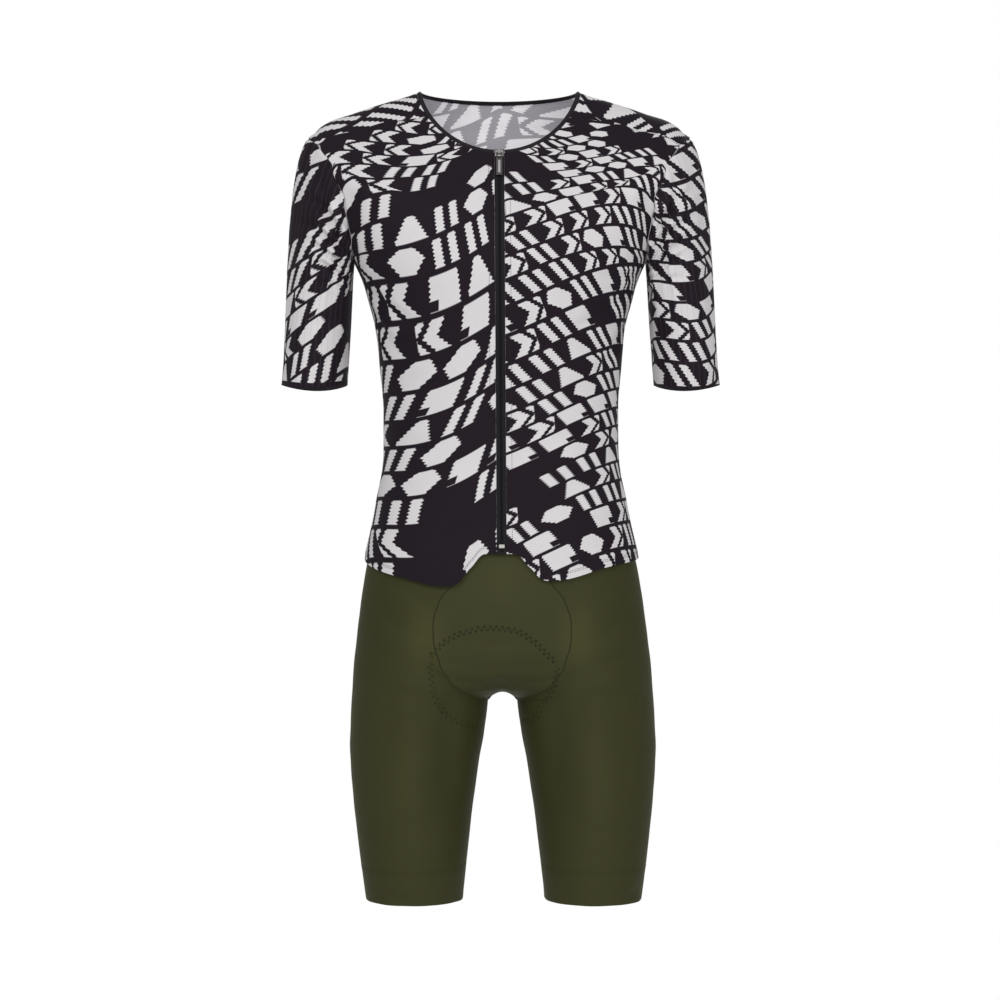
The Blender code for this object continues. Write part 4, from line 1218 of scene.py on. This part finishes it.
def threadMesh(name, starts, ends, upward, look, radius, bow=threads["bow"], sides=threads["sides"]):
    # one joined mesh with a short bowed thread for each pair of ends
    rings = threads["rings"]
    along = unit(ends - starts)
    side = unit(np.cross(along, upward))
    up = np.cross(side, along)
    t = np.linspace(0, 1, rings)
    rise = np.sin(math.pi * t) * (radius + bow) - radius * threads["sunk"]
    girth = radius * np.sqrt(np.clip(1 - (2 * t - 1) ** threads["taper"], threads["ends"], 1))
    angle = np.linspace(0, 2 * math.pi, sides, endpoint=False)
    middle = (starts[:, None] * (1 - t[:, None]) + ends[:, None] * t[:, None]) + up[:, None] * rise[:, None]
    ring = side[:, None, None] * np.cos(angle)[:, None] + up[:, None, None] * np.sin(angle)[:, None]
    points = (middle[:, :, None] + ring * girth[:, None, None]).reshape(-1, 3)
    row, column = np.meshgrid(np.arange(rings - 1) * sides, np.arange(sides), indexing="ij")
    onward = (column + 1) % sides
    one = np.dstack([row + column, row + onward, row + sides + onward, row + sides + column]).reshape(-1, 4)
    faces = (np.arange(len(starts))[:, None, None] * rings * sides + one).reshape(-1, 4)
    piece = addMesh(name, points, faces, (look,))
    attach(piece, suit["body"])


# stitches and the gaps between them, and how far each row is from its edge
seams = {
    "pitch": 0.0027,
    "gap": 0.0006,
    "zip": 0.0122,
    "zipEnds": (0.03, 0.02),            # how far the zip's seam stops short, in levels
    "hem": (0.0068, 0.0088),
    "frontShares": (1.1, 0.995),        # from just beside the zip to just before the side
    "backShares": (1.005, 0.998),
    "band": (0.0030, 0.0052),
    "besideShoulder": (0.02, 0.10),
}
stitchEnds = {"dark": [], "olive": [], "arch": [], "legZigzag": []}


def sewLine(kind, piece, side, points, normals):
    # a row of stitches along a line of points, laid on the finished cloth
    tree = trees[piece]
    line = onto(tree, lean(points * (side, 1, 1)), normals * (side, 1, 1))
    lengths = lengthsAlong(line)
    count, stitch = max(1, int(lengths[-1] / seams["pitch"])), seams["pitch"] - seams["gap"]
    at = (np.arange(count) + 0.5) * lengths[-1] / count - stitch / 2
    starts, ends = pointsAt(at, lengths, line), pointsAt(at + stitch, lengths, line)
    facing = np.array([tuple(tree.find_nearest(Vector(point))[1]) for point in (starts + ends) / 2])
    stitchEnds[kind].append((starts, ends, facing))


def sewOnJersey(piece, side, places):
    sewLine("dark", piece, side, jerseyAt(places), normalsOf(jerseyAt, places))


levels = np.linspace(levelAt(0.0, jerseyForm["hemCentre"]) + seams["zipEnds"][0],
                     jerseyForm["bindingFrom"] - seams["zipEnds"][1], 260)
turns = np.array([turnAt(seams["zip"], level) for level in levels])
for name, side in bothSides("jersey_front"):
    sewOnJersey(name, side, pairs(turns, levels))


def hemPlaces(hem, turns, rise):
    # a line this far above a hem
    places = pairs(turns, hem(turns))
    step = np.linalg.norm(jerseyAt(places + (0, 0.02)) - jerseyAt(places), axis=1) / 0.02
    return places + pairs(0.0, rise / step)


for rise in seams["hem"]:
    start, end = seams["frontShares"]
    turns = np.linspace(float(zipBorder(0.0)) * start, half * end, 200)
    for name, side in bothSides("jersey_front"):
        sewOnJersey(name, side, hemPlaces(hems[name], turns, rise))
    start, end = seams["backShares"]
    turns = np.linspace(half * start, 3 * half * end, 300)
    sewOnJersey("jersey_back", 1, hemPlaces(backHem(), turns, rise))

for name, side in bothSides("jersey_front"):
    sewOnJersey(name, side, seamPlaces[4:-4] - seams["besideShoulder"])

for name, side in bothSides("shorts_leg"):
    for rise in seams["band"]:
        line = legRow(0.0, shortsForm["bandZ"] + rise, 240)[2:-2]
        sewLine("olive", name, side, line, unit(np.cross(np.gradient(line, axis=0), (0, 0, 1.0))))


sightLine = {"y": -0.3, "reach": 0.4, "missed": ((9.0, 9.0, 9.0), (0.0, -1.0, 0.0))}


def seenFromFront(points):
    # points (x, z) carried straight back on to whatever piece of the shorts is first there
    found, facing = [], []
    for x, z in points:
        hits = [trees[name].ray_cast(Vector((x, sightLine["y"], z)), Vector((0, 1, 0)), sightLine["reach"])
                for name in ("shorts_front", "shorts_leg_left", "shorts_leg_right")]
        hits = [hit for hit in hits if hit[0] is not None]
        best = min(hits, key=lambda hit: hit[0].y) if hits else sightLine["missed"]
        found.append(tuple(best[0]))
        facing.append(tuple(best[1]))
    return np.array(found), np.array(facing)


# the pad's outline shows as zigzag stitching: distance from the centre line, height
padStitch = {
    "arch": ((-0.0790, -0.6555), (-0.0560, -0.6345), (-0.0345, -0.6265), (-0.0130, -0.6228),
             (0.0110, -0.6245), (0.0330, -0.6345), (0.0515, -0.6510), (0.0640, -0.6625)),
    "right": ((-0.0795, -0.6610), (-0.0785, -0.6790), (-0.0745, -0.6990), (-0.0665, -0.7165),
              (-0.0465, -0.7325), (-0.0262, -0.7395)),
    "left": ((0.0655, -0.6660), (0.0645, -0.6750), (0.0615, -0.6885), (0.0490, -0.7130),
             (0.0340, -0.7315), (0.0180, -0.7375)),
    "threads": {"arch": "arch", "right": "legZigzag", "left": "legZigzag"},
    "reach": 0.0037,
    "pitch": 0.0068,
    "fine": 400,
    "shares": (0.02, 0.5, 0.5, 0.98),       # each leg of the zigzag is two stitches
    "longest": 0.012,
}


def zigzag(points):
    points = np.array(points)
    lengths = lengthsAlong(points)
    line = smoothAt(lengths, points, np.linspace(0, lengths[-1], padStitch["fine"]))
    line = spread(line, np.linspace(0, 1, padStitch["fine"]))
    count = int(lengthsAlong(line)[-1] / padStitch["pitch"] * 2)
    line = spread(line, np.linspace(0, 1, count + 1))
    way = unit(np.gradient(line, axis=0))
    out = np.column_stack([-way[:, 1], way[:, 0]])
    return line + out * padStitch["reach"] * np.where(np.arange(count + 1) % 2, 1, -1)[:, None]


for part, kind in padStitch["threads"].items():
    corners = zigzag(padStitch[part])
    marks = [seenFromFront(corners[:-1] * (1 - t) + corners[1:] * t) for t in padStitch["shares"]]
    for (starts, facing), (ends, _) in (marks[:2], marks[2:]):
        near = np.linalg.norm(ends - starts, axis=1) < padStitch["longest"]
        near &= starts[:, 0] < 1                         # both ends are on the cloth
        stitchEnds[kind].append((starts[near], ends[near], facing[near]))

threadKinds = {
    "dark": ("darkThread", 0.00024),
    "olive": ("bandThread", 0.00015),
    "arch": ("oliveThread", 0.00036),
    "legZigzag": ("softThread", 0.00032),
}
for kind, (thread, radius) in threadKinds.items():
    starts, ends, facing = (np.concatenate(group) for group in zip(*stitchEnds[kind]))
    threadMesh(kind + "Stitches", starts, ends, facing, thread, radius)
    print("sewn", kind, len(starts))


coilForm = {"pitch": 0.00135, "reach": 0.0018, "inner": 0.25, "radius": 0.00046, "sides": 6,
            "top": -0.0870, "fromHem": 0.02, "turn": 1e-4}
levels = np.linspace(levelAt(0.0, jerseyForm["hemCentre"]) + coilForm["fromHem"],
                     levelAt(0.0, coilForm["top"]), 1200)
centre = jerseyAt(pairs(coilForm["turn"], levels)) * (0, 1, 1)
lengths = lengthsAlong(centre)
teeth = pointsAt(np.arange(coilForm["pitch"], lengths[-1], coilForm["pitch"] / 2), lengths, centre)
reach = np.where(np.arange(len(teeth)) % 2, 1, -1)[:, None] * (coilForm["reach"], 0, 0)
facing = np.tile((0.0, -1.0, 0.0), (len(teeth), 1))
threadMesh("zipCoil", lean(teeth + reach), lean(teeth - reach * coilForm["inner"]), facing, "coil",
           coilForm["radius"], 0.0, coilForm["sides"])

for name in ("zip_slider", "pull_tab", "zip_stop"):
    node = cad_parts[name]
    node.data.materials.clear()
    node.data.materials.append(looks["tabMetal" if name == "pull_tab" else "metal"])
print("zip finished", len(teeth))


cameraForm = {"lens": 92.3, "sensor": 36, "place": (0, -3.0, -0.47736), "turn": (math.pi / 2, 0, 0)}
cameraData = bpy.data.cameras.new("camera")
cameraData.lens, cameraData.sensor_width = cameraForm["lens"], cameraForm["sensor"]
bpy.context.scene.camera = addObject("camera", cameraData, cameraForm["place"], cameraForm["turn"])

# place, what it is aimed at, size and power
lights = {
    "key": ((-1.2, -2.6, 1.4), (0, 0, -0.45), 1.6, 37),
    "fill": ((1.6, -2.4, 0.6), (0, 0, -0.5), 1.8, 22),
    "low": ((0.0, -2.6, -1.2), (0, 0, -0.6), 1.5, 8),
    "rear": ((0.2, 2.4, 1.2), (0, 0, -0.4), 1.8, 34),
}
for name, (place, aim, size, power) in lights.items():
    data = bpy.data.lights.new(name, "AREA")
    data.shape, data.size, data.energy = "DISK", size, power
    addObject(name, data, place, (Vector(aim) - Vector(place)).to_track_quat("-Z", "Y").to_euler())

# the softer light from all round for the cloth, then the white backdrop for the camera: colour, strength
backdrops = (((0.98, 0.99, 1.0, 1), 0.44), ((1, 1, 1, 1), 1.0))
world = bpy.data.worlds.new("studio")
bpy.context.scene.world = world
world.use_nodes = True
nodes, links = world.node_tree.nodes, world.node_tree.links
nodes.clear()
mix, out = nodes.new("ShaderNodeMixShader"), nodes.new("ShaderNodeOutputWorld")
links.new(nodes.new("ShaderNodeLightPath").outputs["Is Camera Ray"], mix.inputs[0])
for number, (colour, strength) in enumerate(backdrops, 1):
    background = nodes.new("ShaderNodeBackground")
    background.inputs["Color"].default_value = colour
    background.inputs["Strength"].default_value = strength
    links.new(background.outputs[0], mix.inputs[number])
links.new(mix.outputs[0], out.inputs[0])
bpy.context.scene.view_settings.view_transform = "Standard"

floorForm = {"half": 2.0, "z": -1.53, "colour": (0.82, 0.82, 0.81, 1)}
corners = [(x * floorForm["half"], y * floorForm["half"], floorForm["z"])
           for x, y in ((-1, -1), (1, -1), (1, 1), (-1, 1))]
floorMesh = bpy.data.meshes.new("floor")
floorMesh.from_pydata(corners, [], [(0, 1, 2, 3)])
floorMesh.materials.append(Cloth("floorPaint", Roughness=0.8, Base_Color=floorForm["colour"]).material)
addObject("floor", floorMesh)
print("studio set up", len(lights))
